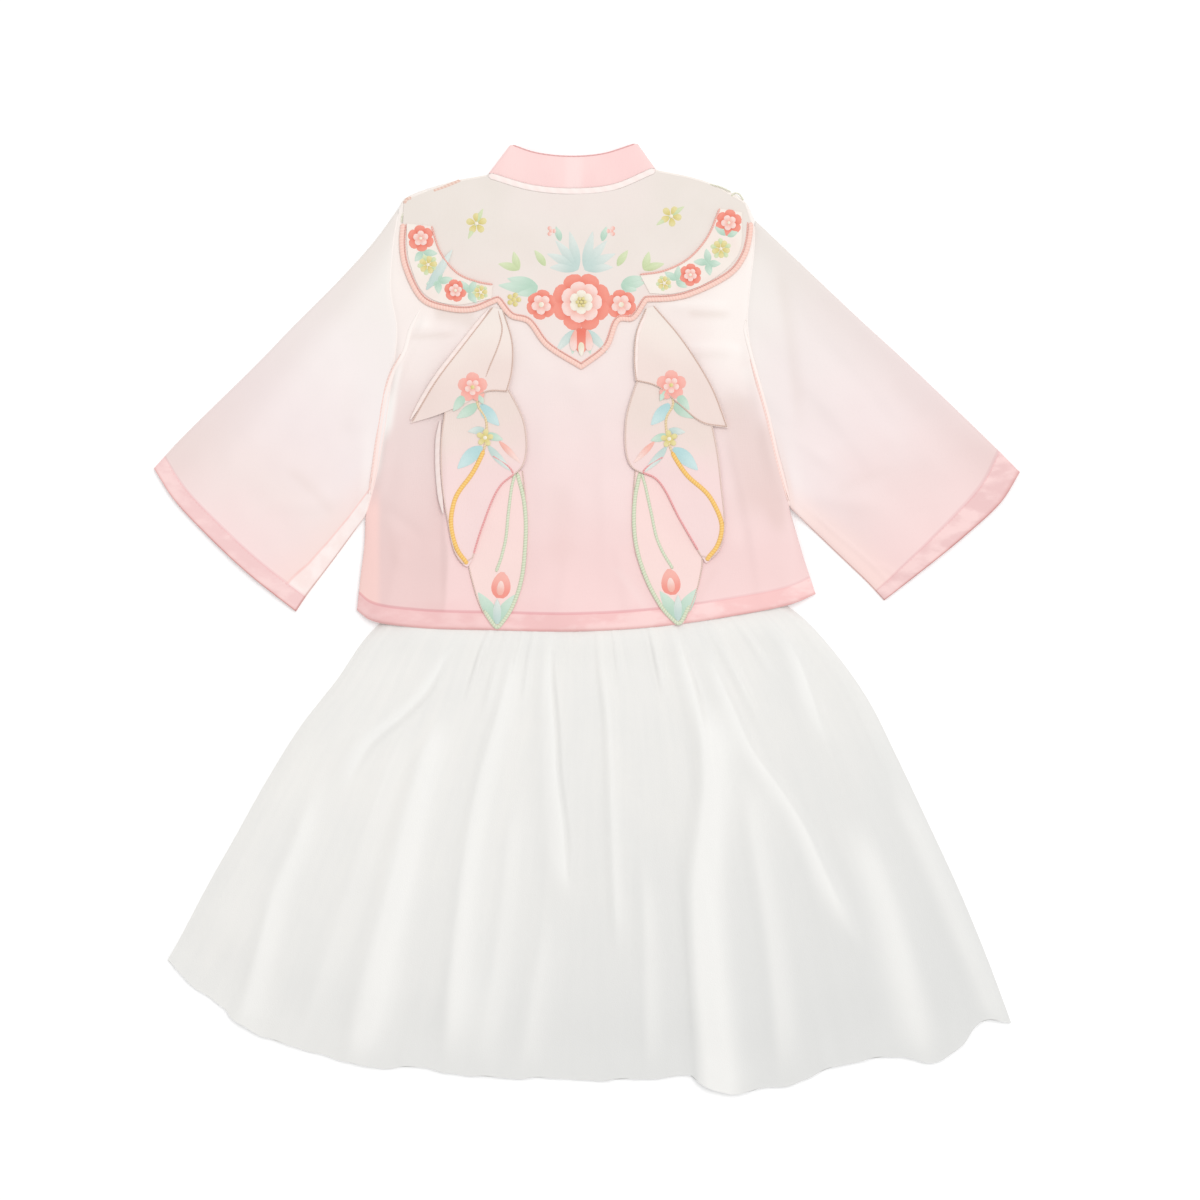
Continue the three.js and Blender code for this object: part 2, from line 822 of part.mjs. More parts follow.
// Cloud collar: the back half lies on the jacket's back, the front halves under its fronts.
function offset(line, distance) {
  return line.map((point, i) => {
    const before = line[Math.max(i - 1, 0)];
    const after = line[Math.min(i + 1, line.length - 1)];
    const first = point.clone().sub(before);
    const second = after.clone().sub(point);
    const a = (first.lengthSq() ? first : second).normalize();
    const b = (second.lengthSq() ? second : first).normalize();
    const aside = new THREE.Vector3(a.y + b.y, -a.x - b.x, 0).normalize();
    const mitre = Math.max(aside.dot(new THREE.Vector3(a.y, -a.x, 0)), 0.6);
    return point.clone().addScaledVector(aside, distance / mitre);
  });
}

const lobes = joined(
  along(LOBE_LEFT, SIDE_LOBE_STEPS),
  along(LOBE_MIDDLE_LEFT, halfNeck),
  along(LOBE_MIDDLE_RIGHT, halfNeck),
  along(LOBE_RIGHT, SIDE_LOBE_STEPS),
);
const lobesInside = offset(lobes, -(BINDING_WIDTH / 2 + GAP));
const cloudTop = joined(
  moved(along(SHOULDER_LEFT.slice(1), SIDE_LOBE_STEPS), 0, -2 * SEAM_GAP),
  moved(along(NECK_BACK, NECK_STEPS), 0, -2 * SEAM_GAP),
  moved(along(SHOULDER_RIGHT.slice(0, 3), SIDE_LOBE_STEPS), 0, -2 * SEAM_GAP),
);
const sideRows = (from, to) => [0, 1 / 3, 2 / 3, 1].map((share) => from.clone().lerp(to, share));
const cloud = filled(
  cloudTop,
  lobesInside,
  sideRows(cloudTop[0], lobesInside[0]),
  sideRows(cloudTop.at(-1), lobesInside.at(-1)),
);
const onBack = (lift) => (point) => (heightOn(back, point.x, point.y) ?? backHeight(point)) + lift;
const cloudHeight = GAP + SATIN_WALL;
addSheet("cloud_collar_back", 0xf4e8e3, raised(cloud, onBack(cloudHeight)), SATIN_WALL);

const frontNeck = (points) =>
  points.map((row, r) =>
    row.map((point, c) => {
      const lowered = point.clone();
      const column = c - SIDE_LOBE_STEPS + SHOULDER_STEPS;
      lowered.y -= neckDrop(column) * (1 - r / 3);
      return lowered;
    }),
  );
const cloudFront = raised(frontNeck(cloud), () => SATIN_WALL);
const cloudCentre = SIDE_LOBE_STEPS + halfNeck;
const [cloudLeft, cloudRight] = opened(cloudFront, cloudCentre);
addSheet("cloud_collar_front_left", 0xf4e8e3, cloudLeft, SATIN_WALL);
addSheet("cloud_collar_front_right", 0xf4e8e3, cloudRight, SATIN_WALL);

// Binding: a rounded strip round the three lobes.
const bindingRows = [-BINDING_WIDTH / 2, 0, BINDING_WIDTH / 2].map((side) => offset(lobes, side));
const bindingTop = raised(bindingRows, (point, r) =>
  onBack(GAP + BINDING_HEIGHT * (r === 1 ? 1 : 0.7))(point),
);
addWall("cloud_collar_binding", 0xf0a898, bindingTop, raised(bindingRows, onBack(GAP)));

// Crescent borders, laid on the side lobes.
for (const [name, table] of [["crescent_left", CRESCENT_LEFT], ["crescent_right", CRESCENT_RIGHT]]) {
  const inner = along(table.inner, PETAL_STEPS);
  const outer = along(table.outer, PETAL_STEPS);
  const middle = inner.map((point, i) => point.clone().lerp(outer[i], 0.5));
  const lift = cloudHeight + GAP + TRIM_WALL;
  addSheet(name, 0xf6e0d8, raised([inner, middle, outer], onBack(lift)), TRIM_WALL);
}

// Streamers: petals that overlap like a butterfly's wing, the lowest one first.
const PETAL_COLORS = { tail: 0xe6dac8, middle: 0xfbdfdd, upper: 0xefe4dc };
for (const [side, petals] of [["left", WING_LEFT], ["right", WING_RIGHT]]) {
  for (const petal of petals) {
    const grid = filled(
      along(petal.upper, PETAL_COLUMNS),
      along(petal.lower, PETAL_COLUMNS),
      along(petal.left, PETAL_STEPS),
      along(petal.right, PETAL_STEPS),
    );
    const settled = LAY_GAP + TRIM_WALL;
    const top = raised(grid, (point, r) => {
      const share = petal.layer === 2 ? smoothstep(r / PETAL_STEPS, 0.1, 0.6) : 1;
      return onBack(settled * (1 + petal.layer * share))(point);
    });
    addSheet(`wing_${side}_${petal.name}`, PETAL_COLORS[petal.name], top, TRIM_WALL);
  }
}

export default part;
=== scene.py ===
import math

import bpy
import numpy as np
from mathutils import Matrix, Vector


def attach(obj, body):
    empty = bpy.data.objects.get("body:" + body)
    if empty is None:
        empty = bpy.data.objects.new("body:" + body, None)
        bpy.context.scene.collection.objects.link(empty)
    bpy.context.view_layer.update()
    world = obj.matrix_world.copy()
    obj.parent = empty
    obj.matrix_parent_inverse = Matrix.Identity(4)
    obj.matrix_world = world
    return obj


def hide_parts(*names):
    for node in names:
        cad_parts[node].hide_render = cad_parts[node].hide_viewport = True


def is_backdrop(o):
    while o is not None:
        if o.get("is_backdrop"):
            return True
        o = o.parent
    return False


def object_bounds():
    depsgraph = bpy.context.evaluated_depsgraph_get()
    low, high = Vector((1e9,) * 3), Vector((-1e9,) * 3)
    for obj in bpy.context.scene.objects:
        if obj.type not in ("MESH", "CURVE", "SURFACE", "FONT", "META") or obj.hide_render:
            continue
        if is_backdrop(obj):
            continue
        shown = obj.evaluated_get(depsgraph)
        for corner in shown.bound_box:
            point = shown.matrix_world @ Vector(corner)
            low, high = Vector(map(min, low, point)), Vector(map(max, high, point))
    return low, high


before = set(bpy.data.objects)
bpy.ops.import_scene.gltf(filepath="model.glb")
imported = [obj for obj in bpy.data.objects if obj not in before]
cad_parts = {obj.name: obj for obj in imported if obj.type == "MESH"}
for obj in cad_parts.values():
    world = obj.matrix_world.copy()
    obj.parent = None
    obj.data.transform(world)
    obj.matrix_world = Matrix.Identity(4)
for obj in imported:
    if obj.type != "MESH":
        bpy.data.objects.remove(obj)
cad_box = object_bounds()

# ---------------------------------------------------------------- table, lamp and camera
# The set lies back up on a plain white table and is looked at from straight above. A broad soft
# lamp at the upper right and an even white room light it. None of this is part of the garment.
VIEW_WIDTH = 0.960
VIEW_HEIGHT = 3.2
VIEW_ASIDE = (0.0105, 0.0147)
VIEW_REACH = 20.0
SENSOR_WIDTH = 36.0  # millimetres, as a camera takes it
ROOM_LIGHT = 0.74
LAMP_POWER = 80.0
LAMP_WIDTH = 2.6
LAMP_PLACE = (1.2, 1.5, 4.4)
TABLE_WIDTH = 12.0
TABLE_DROP = 0.0002
TABLE_GLOW = 0.16
WHITE = (1.0, 1.0, 1.0, 1.0)

scene = bpy.context.scene
scene.view_settings.view_transform = "Standard"
middle = (cad_box[0] + cad_box[1]) / 2

lens = bpy.data.cameras.new("camera")
lens.sensor_width = SENSOR_WIDTH
lens.lens = SENSOR_WIDTH * VIEW_HEIGHT / VIEW_WIDTH
lens.clip_end = VIEW_REACH
camera = bpy.data.objects.new("camera", lens)
camera.location = (middle.x + VIEW_ASIDE[0], middle.y + VIEW_ASIDE[1], cad_box[1].z + VIEW_HEIGHT)
scene.collection.objects.link(camera)
scene.camera = camera

lamp = bpy.data.lights.new("broad_lamp", "AREA")
lamp.size = LAMP_WIDTH
lamp.energy = LAMP_POWER
lamp_stand = bpy.data.objects.new("broad_lamp", lamp)
lamp_stand.location = LAMP_PLACE
lamp_stand.rotation_euler = lamp_stand.location.to_track_quat("Z", "Y").to_euler()
scene.collection.objects.link(lamp_stand)

room = bpy.data.worlds.new("white_room")
room.use_nodes = True
sky = room.node_tree.nodes["Background"].inputs
sky["Color"].default_value = WHITE
sky["Strength"].default_value = ROOM_LIGHT
scene.world = room


class Wire:
    """An output in a finish's nodes. A sum or product on it adds a Math node."""

    def __init__(self, tree, socket=None):
        self.tree = tree
        self.socket = socket

    def node(self, kind, settings=(), inputs=(), output=0):
        """An output of a new node, with its settings and inputs."""
        made = self.tree.nodes.new(kind)
        for key, value in dict(settings).items():
            if key == "stops":
                ramp = made.color_ramp.elements
                for place, colour in value[2:]:
                    ramp.new(place)
                for stop, (place, colour) in zip(ramp, sorted(value)):
                    stop.position, stop.color = place, colour
            else:
                setattr(made, key, value)
        for key, value in dict(inputs).items():
            if isinstance(value, Wire):
                self.tree.links.new(value.socket, made.inputs[key])
            else:
                made.inputs[key].default_value = value
        return Wire(self.tree, made.outputs[output])

    def math(self, operation, *values):
        """The result of a Math node."""
        return self.node("ShaderNodeMath", {"operation": operation}, enumerate(values))

    def blend(self, first, second, kind="MIX"):
        """Colour first turned into second as this value goes from 0 to 1."""
        settings = {"data_type": "RGBA", "blend_type": kind, "clamp_factor": True}
        return self.node("ShaderNodeMix", settings, {0: self, 6: first, 7: second}, 2)

    def step(self, low, high, at_low=0.0, at_high=1.0):
        """This value eased from one result to another between low and high."""
        sockets = {0: self, 1: low, 2: high, 3: at_low, 4: at_high}
        return self.node("ShaderNodeMapRange", {"interpolation_type": "SMOOTHSTEP"}, sockets)

    def until(self, low, high):
        """1 below low and 0 above high, eased between them."""
        return self.step(low, high, 1.0, 0.0)

    def noise(self, scale, stretch=(1.0, 1.0, 1.0), detail=2.0):
        """Soft noise from 0 to 1 on this vector, with scale lumps to the metre."""
        placed = self.node("ShaderNodeMapping", (), {0: self, "Scale": stretch})
        sockets = {"Vector": placed, "Scale": scale, "Detail": detail, "Roughness": 0.5}
        return self.node("ShaderNodeTexNoise", (), sockets)

    def places(self, kind):
        """Places on the piece itself, which is Object, or on its flat cloth, which is UV."""
        return self.node("ShaderNodeTexCoord", output=kind)

    def axis(self, number):
        """One number of this vector, with 0 for x and 1 for y."""
        return self.node("ShaderNodeSeparateXYZ", (), {0: self}, number)

    def mark(self, name):
        """A number that is kept on the points of the mesh."""
        return self.node("ShaderNodeAttribute", {"attribute_name": name}, output="Fac")

    def darken(self, colour, tint):
        """Colour seen through a tint as this value goes from 0 to 1."""
        return self.blend(colour, (*tint, 1.0), "MULTIPLY")

    def relief(self, depth):
        """A bump of this height, which is 1 at depth metres."""
        return self.node("ShaderNodeBump", (), {"Distance": depth, "Height": self})

    def __add__(self, other):
        return self.math("ADD", self, other)

    def __sub__(self, other):
        return self.math("SUBTRACT", self, other)

    def __mul__(self, other):
        return self.math("MULTIPLY", self, other)

    __radd__ = __add__
    __rmul__ = __mul__


def new_finish(name, roughness, sheen=0.0, specular=0.5):
    """A new material, the start of its nodes, and what sets its shader's sockets."""
    material = bpy.data.materials.new(name)
    material.use_nodes = True
    tree = material.node_tree
    shader = tree.nodes["Principled BSDF"]
    shader.inputs["Roughness"].default_value = roughness
    shader.inputs["Sheen Weight"].default_value = sheen
    shader.inputs["Specular IOR Level"].default_value = specular

    def feed(socket, wire):
        tree.links.new(wire.socket, shader.inputs[socket])

    return material, Wire(tree), feed


def dye(red, green, blue):
    """A colour in steps of 0 to 255, as a shader takes it."""
    steps = np.array([red, green, blue]) / 255
    linear = np.where(steps <= 0.04045, steps / 12.92, ((steps + 0.055) / 1.055) ** 2.4)
    return (*linear.tolist(), 1.0)


table_finish, start, feed = new_finish("white_table", 0.9, specular=0.0)
mottled = start.places("Object").noise(3.0).step(0.0, 1.0)
feed("Base Color", mottled.blend(dye(244, 244, 244), dye(247, 247, 247)))
table_glow = table_finish.node_tree.nodes["Principled BSDF"].inputs
table_glow["Emission Color"].default_value = WHITE
table_glow["Emission Strength"].default_value = TABLE_GLOW
table_mesh = bpy.data.meshes.new("table")
half = TABLE_WIDTH / 2
corners = [(x * half, y * half, -TABLE_DROP) for x, y in ((-1, -1), (1, -1), (1, 1), (-1, 1))]
table_mesh.from_pydata(corners, [], [(0, 1, 2, 3)])
table_mesh.materials.append(table_finish)
table = bpy.data.objects.new("table", table_mesh)
scene.collection.objects.link(table)
table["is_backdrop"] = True

# ---------------------------------------------------------------- skirt of tulle
# Two layers of soft white net, a flat front one and a gathered back one, cut in a wide flare with
# a raw hem. The gathers fan out from the waist into long uneven folds that lie over to one side.
# Sizes are millimetres from here on.
MM = 0.001
WAIST_SEAM = [(-145, 17), (0, 14), (148, 19)]
SKIRT_LEFT = [
    (-145, 17), (-178, -15), (-200, -47), (-231, -87), (-259, -132),
    (-283, -175), (-304, -212), (-325, -252), (-337, -274),
]
SKIRT_RIGHT = [
    (148, 19), (173, 1), (201, -30), (226, -66), (248, -110),
    (274, -165), (298, -217), (321, -273), (340, -324),
]
SKIRT_HEM = [
    (-337, -274), (-319, -292), (-290, -314), (-286, -320), (-252, -338), (-221, -347),
    (-177, -359), (-130, -360), (-113, -364), (-69, -368), (-40, -368), (9, -370),
    (38, -369), (63, -368), (83, -366), (88, -371), (97, -376), (125, -381),
    (140, -376), (163, -374), (193, -361), (216, -355), (248, -351), (262, -353),
    (276, -356), (298, -345), (311, -327), (318, -322), (340, -324),
]
# Each fold's way down as places down and across (0 at the waist and the left side, 1 at the hem
# and the right side), its width as a share of the skirt's, height, and how steep its left side is.
SKIRT_FOLDS = [
    ([(0.07, 0.198), (0.14, 0.187), (0.23, 0.170), (0.29, 0.147), (0.36, 0.120), (0.52, 0.112)],
     0.013, 3.6, 0.45),
    ([(0.48, 0.074), (0.60, 0.082), (0.73, 0.084), (0.82, 0.094), (0.92, 0.104), (1.08, 0.110)],
     0.026, 2.6, 1.8),
    ([(0.30, 0.166), (0.70, 0.176), (1.04, 0.178)], 0.026, 1.2, 1.6),
    ([(0.28, 0.216), (0.50, 0.223), (0.70, 0.230), (0.90, 0.236), (1.04, 0.238)], 0.032, 4.0, 1.8),
    ([(0.08, 0.330), (0.28, 0.322), (0.50, 0.321), (0.70, 0.328), (0.90, 0.338), (1.02, 0.342)],
     0.028, 2.8, 1.9),
    ([(0.42, 0.378), (0.70, 0.384), (1.04, 0.380)], 0.024, 1.6, 1.5),
    ([(0.02, 0.403), (0.20, 0.410), (0.30, 0.424), (0.40, 0.438), (0.50, 0.453), (0.68, 0.466)],
     0.010, 4.2, 0.35),
    ([(-0.04, 0.514), (0.20, 0.516), (0.40, 0.526), (0.60, 0.530), (0.80, 0.534)], 0.014, 1.8, 1.6),
    ([(0.66, 0.440), (1.06, 0.425)], 0.024, 1.6, 1.6),
    ([(0.56, 0.572), (1.04, 0.566)], 0.018, 1.6, 1.4),
    ([(-0.06, 0.690), (0.20, 0.690), (0.36, 0.686)], 0.011, 4.2, 0.40),
    ([(0.24, 0.692), (0.40, 0.683), (0.50, 0.664), (0.60, 0.647), (0.70, 0.640), (0.85, 0.637),
      (1.12, 0.640)], 0.036, 4.6, 2.0),
    ([(0.40, 0.745), (0.70, 0.735), (1.04, 0.722)], 0.026, 1.8, 1.6),
    ([(0.10, 0.738), (0.27, 0.752), (0.35, 0.764), (0.43, 0.790), (0.52, 0.812), (0.64, 0.824),
      (0.80, 0.838)], 0.011, 2.6, 0.4),
    ([(-0.02, 0.925), (0.15, 0.918), (0.26, 0.898), (0.40, 0.884)], 0.014, 3.4, 0.4),
    ([(0.50, 0.890), (0.70, 0.892), (0.88, 0.886), (1.06, 0.882)], 0.024, 2.4, 0.6),
    ([(0.46, 0.968), (0.80, 0.974), (1.10, 0.985)], 0.026, 1.6, 1.2),
    ([(0.00, 0.262), (0.14, 0.258), (0.28, 0.252)], 0.008, 3.0, 2.0),
    ([(0.10, 0.298), (0.32, 0.292)], 0.009, 2.0, 1.2),
    ([(-0.04, 0.338), (0.22, 0.335)], 0.006, 2.2, 1.8),
    ([(-0.04, 0.366), (0.28, 0.360)], 0.007, 2.4, 1.8),
    ([(-0.04, 0.550), (0.24, 0.547)], 0.007, 2.4, 1.8),
    ([(-0.06, 0.642), (0.26, 0.628)], 0.011, 3.4, 2.2),
    ([(-0.04, 0.842), (0.24, 0.852)], 0.008, 2.4, 0.7),
    ([(0.06, 0.776), (0.34, 0.792)], 0.008, 1.8, 0.7),
]
GATHERS = 18
RIPPLES = 10
GATHER_SHARE = 0.16  # of a fold's height that is left at the waist
TULLE_WALL = 0.5
TULLE_LIFT = 1.1
LAYER = 1.3  # from one layer of the skirt to the next
FINE_SHARE = 0.35
GATHERS_OPEN = (0.05, 0.26)  # shares down between which the folds grow to their full height
WAIST_PUFF = (2.0, 0.100, 0.042)  # how high, how far down and how wide the gathers puff out
HEM_RUFFLES = ((131, 0.0, 1.0), (83, 1.0, 1.0), (211, 2.0, 0.7))  # waves, phase and size
HEM_SWING = 0.45  # how far the ruffles move the hem in the plane
HEM_CURL = (0.5, 0.2)  # how high the hem lies up, and the ruffles on it
LIT_HEIGHT, LIT_SLOPE = 3.0, 0.45  # a fold is lit on top from one, and in shade past the other
SKIRT_COLUMNS = 250
SKIRT_ROWS = 110
CLOTH_WIDTH = 640  # of the skirt as it is cut
CLOTH_LENGTH = 385
WALL_SHARP = 55  # degrees between two faces from which a sheet's edge is a sharp one

chance = np.random.default_rng(7)
small_folds = [
    ([(-0.3, u), (chance.uniform(0.12, 0.30), u + chance.normal(0, 0.004))],
     chance.uniform(0.004, 0.008), chance.uniform(0.2, 0.8), chance.uniform(0.8, 2.0))
    for u in np.sort(chance.uniform(0.01, 0.99, GATHERS))
] + [
    ([(chance.uniform(0.1, 0.7), u), (1.3, u + chance.normal(0, 0.02))],
     chance.uniform(0.012, 0.022), chance.uniform(0.2, 0.5), chance.uniform(0.8, 1.8))
    for u in np.sort(chance.uniform(0.01, 0.99, RIPPLES))
]


def eased(value, low, high):
    """0 at low and 1 at high, with a soft start and end."""
    share = np.clip((value - low) / (high - low), 0, 1)
    return share * share * (3 - 2 * share)


def so_far(points):
    """How far each point is from the first one, along a line or down the columns of a grid."""
    steps = np.linalg.norm(np.diff(points, axis=0), axis=-1)
    return np.concatenate([0 * steps[:1], np.cumsum(steps, axis=0)])


def unit(ways):
    """Ways made 1 long."""
    return ways / np.linalg.norm(ways, axis=1, keepdims=True)


def along(legs, shares):
    """Points on a smooth line through rows of places, or on several such lines end to end, each
    given as a leg: its rows and the portion of the shares that it takes."""
    if not isinstance(legs[0][0], list):
        legs = [(legs, 1)]
    portions = np.array([portion for _, portion in legs], float)
    ends = np.concatenate([[0], np.cumsum(portions) / portions.sum()])
    found = np.zeros((len(shares), 2))
    for (rows, _), low, high in zip(legs, ends, ends[1:]):
        p = np.array(rows, float)
        p = np.vstack([2 * p[0] - p[1], p, 2 * p[-1] - p[-2]])
        knots = np.concatenate([[0], np.cumsum(np.sqrt(np.linalg.norm(np.diff(p, axis=0), axis=1)))])
        line = [p[1:2]]
        for i in range(1, len(p) - 2):
            t = np.linspace(knots[i], knots[i + 1], 25)[1:, None]

            def between(a, b, ka, kb):
                return (a * (kb - t) + b * (t - ka)) / (kb - ka)

            k = knots[i - 1 : i + 3]
            a, b, c = (between(p[i + j - 1], p[i + j], k[j], k[j + 1]) for j in range(3))
            line.append(between(between(a, b, k[0], k[2]), between(b, c, k[1], k[3]), k[1], k[2]))
        line = np.vstack(line)
        length = so_far(line)
        here = (shares >= low - 1e-9) & (shares <= high + 1e-9)
        way = (shares[here] - low) / (high - low) * length[-1]
        found[here] = np.column_stack([np.interp(way, length, line[:, k]) for k in (0, 1)])
    return found


def panel(top, bottom, left, right, across, down):
    """A grid of points that fills four edges in the plane, row by row from the top one."""
    t, b = along(top, across)[None], along(bottom, across)[None]
    l, r = along(left, down)[:, None], along(right, down)[:, None]
    u, v = across[None, :, None], down[:, None, None]
    high, low = along(top, np.array([0.0, 1.0])), along(bottom, np.array([0.0, 1.0]))
    corners = (high[0] * (1 - u) + high[1] * u) * (1 - v) + (low[0] * (1 - u) + low[1] * u) * v
    return t * (1 - v) + b * v + l * (1 - u) + r * u - corners


def on_grid(grid, across, down):
    """Points of a grid at paired shares of the way across and down it."""
    rows, columns = grid.shape[0] - 1, grid.shape[1] - 1
    r, c = np.clip(down, 0, 1) * rows, np.clip(across, 0, 1) * columns
    r0, c0 = np.minimum(r.astype(int), rows - 1), np.minimum(c.astype(int), columns - 1)
    dr, dc = (r - r0)[..., None], (c - c0)[..., None]
    upper = grid[r0, c0] * (1 - dc) + grid[r0, c0 + 1] * dc
    lower = grid[r0 + 1, c0] * (1 - dc) + grid[r0 + 1, c0 + 1] * dc
    return upper * (1 - dr) + lower * dr


def new_piece(name, points, faces, finish, layer, flat, sharp=None):
    """A smooth mesh, with each face corner's place on the flat cloth kept in a layer."""
    mesh = bpy.data.meshes.new(name)
    mesh.from_pydata((points * MM).tolist(), [], faces)
    mesh.polygons.foreach_set("use_smooth", [True] * len(mesh.polygons))
    if sharp:
        mesh.set_sharp_from_angle(angle=math.radians(sharp))
    mesh.uv_layers.new(name=layer).data.foreach_set("uv", flat.ravel())
    mesh.materials.append(finish)
    piece = bpy.data.objects.new(name, mesh)
    scene.collection.objects.link(piece)
    return piece


def shell(name, outer, inner, finish, weave=None, looped=False, **marks):
    """A closed wall between two grids of points. Weave gives each point's place on the flat cloth,
    and marks are numbers kept on the points for the finish to read."""
    rows, columns = outer.shape[:2]
    face = np.arange(rows * columns).reshape(rows, columns)
    if looped:
        face = np.column_stack([face, face[:, 0]])
    back = face + rows * columns

    def quads(a, b, c, d):
        return np.stack([a, b, c, d], -1).reshape(-1, 4)

    faces = [
        quads(face[:-1, :-1], face[1:, :-1], face[1:, 1:], face[:-1, 1:]),
        quads(back[:-1, :-1], back[:-1, 1:], back[1:, 1:], back[1:, :-1]),
        quads(face[0, :-1], face[0, 1:], back[0, 1:], back[0, :-1]),
        quads(face[-1, :-1], back[-1, :-1], back[-1, 1:], face[-1, 1:]),
    ]
    if not looped:
        faces.append(quads(face[:-1, 0], back[:-1, 0], back[1:, 0], face[1:, 0]))
        faces.append(quads(face[:-1, -1], face[1:, -1], back[1:, -1], back[:-1, -1]))
    faces = np.concatenate(faces)
    points = np.concatenate([outer.reshape(-1, 3), inner.reshape(-1, 3)])
    weave = outer[..., :2] if weave is None else weave
    flat = np.tile(weave.reshape(-1, 2) * MM, (2, 1))
    piece = new_piece(name, points, faces.tolist(), finish, "weave", flat[faces], WALL_SHARP)
    for mark, values in marks.items():
        kept = piece.data.attributes.new(mark, "FLOAT", "POINT")
        kept.data.foreach_set("value", np.tile(np.broadcast_to(values, (rows, columns)).ravel(), 2))
    return piece


def raised(flat, height):
    """Points in the plane, each at its height."""
    return np.dstack([flat, np.broadcast_to(height, flat.shape[:2])])


def spread(name, flat, height, wall, finish, **marks):
    """A sheet whose upper side is at the given height."""
    top = raised(flat, height)
    return shell(name, top, top - [0, 0, wall], finish, **marks), top


def lay(piece, nodes):
    """The piece rides with the set and stands for its solids."""
    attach(piece, "root")
    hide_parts(*nodes)


def fold_height(across, down, folds, kept_at_waist):
    """Height of the skirt's folds, of which a share is kept at the gathered waist."""
    total = np.zeros(np.broadcast(across, down).shape)
    for path, width, height, steep in folds:
        places = np.array(path)
        if len(path) > 2:
            places = along(path, np.linspace(0, 1, 60))
        aside = across - np.interp(down, *places.T)
        begin, end = path[0][0], path[-1][0]
        wide = np.where(aside < 0, width / steep, width)
        begun = eased(down, begin - 0.04, begin + 0.12) * (1 - eased(down, end - 0.16, end))
        total += height * np.exp(-((aside / wide) ** 2)) * begun
    return total * (kept_at_waist + (1 - kept_at_waist) * eased(down, *GATHERS_OPEN))


tulle_finish, start, feed = new_finish("white_tulle", 0.75, sheen=0.25, specular=0.2)
net = start.places("UV")
streaks = net.noise(9.0, stretch=(12.0, 1.2, 1.0), detail=3.0)
cells = net.node("ShaderNodeTexVoronoi", {"feature": "DISTANCE_TO_EDGE"}, {"Vector": net, "Scale": 620.0})
cloudy = net.noise(14.0)
toned = (streaks * 0.3 + cloudy * 0.7).step(0.25, 0.75)
place = start.places("Object")
sideways, upward = place.axis(0), place.axis(1)
# Painted shade: the net is made darker away from the lamp, towards the skirt's lower right.
away_from_lamp = (sideways * 0.5 - upward).step(0.0, 0.46)
colour = toned.blend(dye(246, 245, 242), dye(251, 249, 245))
colour = away_from_lamp.blend(colour, dye(235, 235, 233))
# Painted light on the folds: a painted highlight on their tops and painted shade on their steep sides, read from
# the lit mark.
lit = start.mark("lit")
colour = (lit.step(0.0, 1.0) * 0.8).blend(colour, dye(255, 254, 251))
feed("Base Color", lit.step(0.0, -1.0).darken(colour, (0.90, 0.90, 0.90)))
feed("Alpha", 0.86 + 0.03 * streaks)
feed("Normal", (cells * 0.4 + streaks * 0.1).relief(0.0002))

skirt_across = np.linspace(0, 1, SKIRT_COLUMNS + 1)
skirt_down = np.linspace(0, 1, SKIRT_ROWS + 1)
skirt_flat = panel(WAIST_SEAM, SKIRT_HEM, SKIRT_LEFT, SKIRT_RIGHT, skirt_across, skirt_down)


def skirt_part(across, down, reach=1.0):
    """The flat points of a part of the skirt, their shares across and down, and its weave."""
    u, v = np.meshgrid(across, down)
    v = v * reach
    return on_grid(skirt_flat, u, v), u, v, np.dstack([(u - 0.5) * CLOTH_WIDTH, -v * CLOTH_LENGTH])


flat, u, v, weave = skirt_part(skirt_across, skirt_down)
ruffle = sum(size * np.sin(u * waves + phase) for waves, phase, size in HEM_RUFFLES)
flat[..., 1] += HEM_SWING * ruffle * eased(v, 0.97, 1.0)
from_side = np.minimum(u, 1 - u)
over_lining = eased(from_side, 0.0, 0.03) * (1 - eased(v, 0.836, 0.95))
main_folds = fold_height(u, v, SKIRT_FOLDS, GATHER_SHARE)
fine_folds = fold_height(u, v, small_folds, FINE_SHARE) * eased(from_side, 0.0, 0.02)
lift = TULLE_LIFT + LAYER * eased(from_side, 0.0, 0.012) + 2 * LAYER * over_lining
puff, puff_place, puff_width = WAIST_PUFF
lift += puff * np.exp(-(((v - puff_place) / puff_width) ** 2)) * eased(from_side, 0.03, 0.10)
curl = (HEM_CURL[0] + HEM_CURL[1] * ruffle) * eased(v, 0.93, 1.0)
# The lit mark: painted highlight on the folds' tops, painted shade past their steep sides.
rise = np.gradient(main_folds, axis=1) / np.linalg.norm(np.gradient(flat, axis=1), axis=2)
lit = np.clip(main_folds / LIT_HEIGHT, 0, 1) - 0.8 * np.clip(rise / LIT_SLOPE, 0, 1)
lit -= 1.3 * np.clip(-rise / LIT_SLOPE - 0.4, 0, 1)
height = lift + main_folds + fine_folds + curl
tulle_back, top = spread(
    "tulle_back_layer", flat, height, TULLE_WALL, tulle_finish, weave=weave, lit=lit
)
lay(tulle_back, ["skirt_tulle_back"])

flat, u, v, weave = skirt_part(np.linspace(0, 1, 81), np.linspace(0, 1, 41))
tulle_front, top = spread("tulle_front_layer", flat, TULLE_WALL, TULLE_WALL, tulle_finish, weave=weave)
lay(tulle_front, ["skirt_tulle_front"])

# ---------------------------------------------------------------- skirt lining and waistband
# A plain cream lining, front and back, ends a hand's breadth above the tulle with a narrow
# stitched hem. Lining and tulle are gathered into one elastic band that the jacket hides.
LINING_WALL = 0.5
LINING_RISE = 0.8
LINING_FOLLOWS = 0.96  # share of the tulle's folds that the lining under it has
LINING_SIDE = 1 / 32
LINING_END = 10 / 12
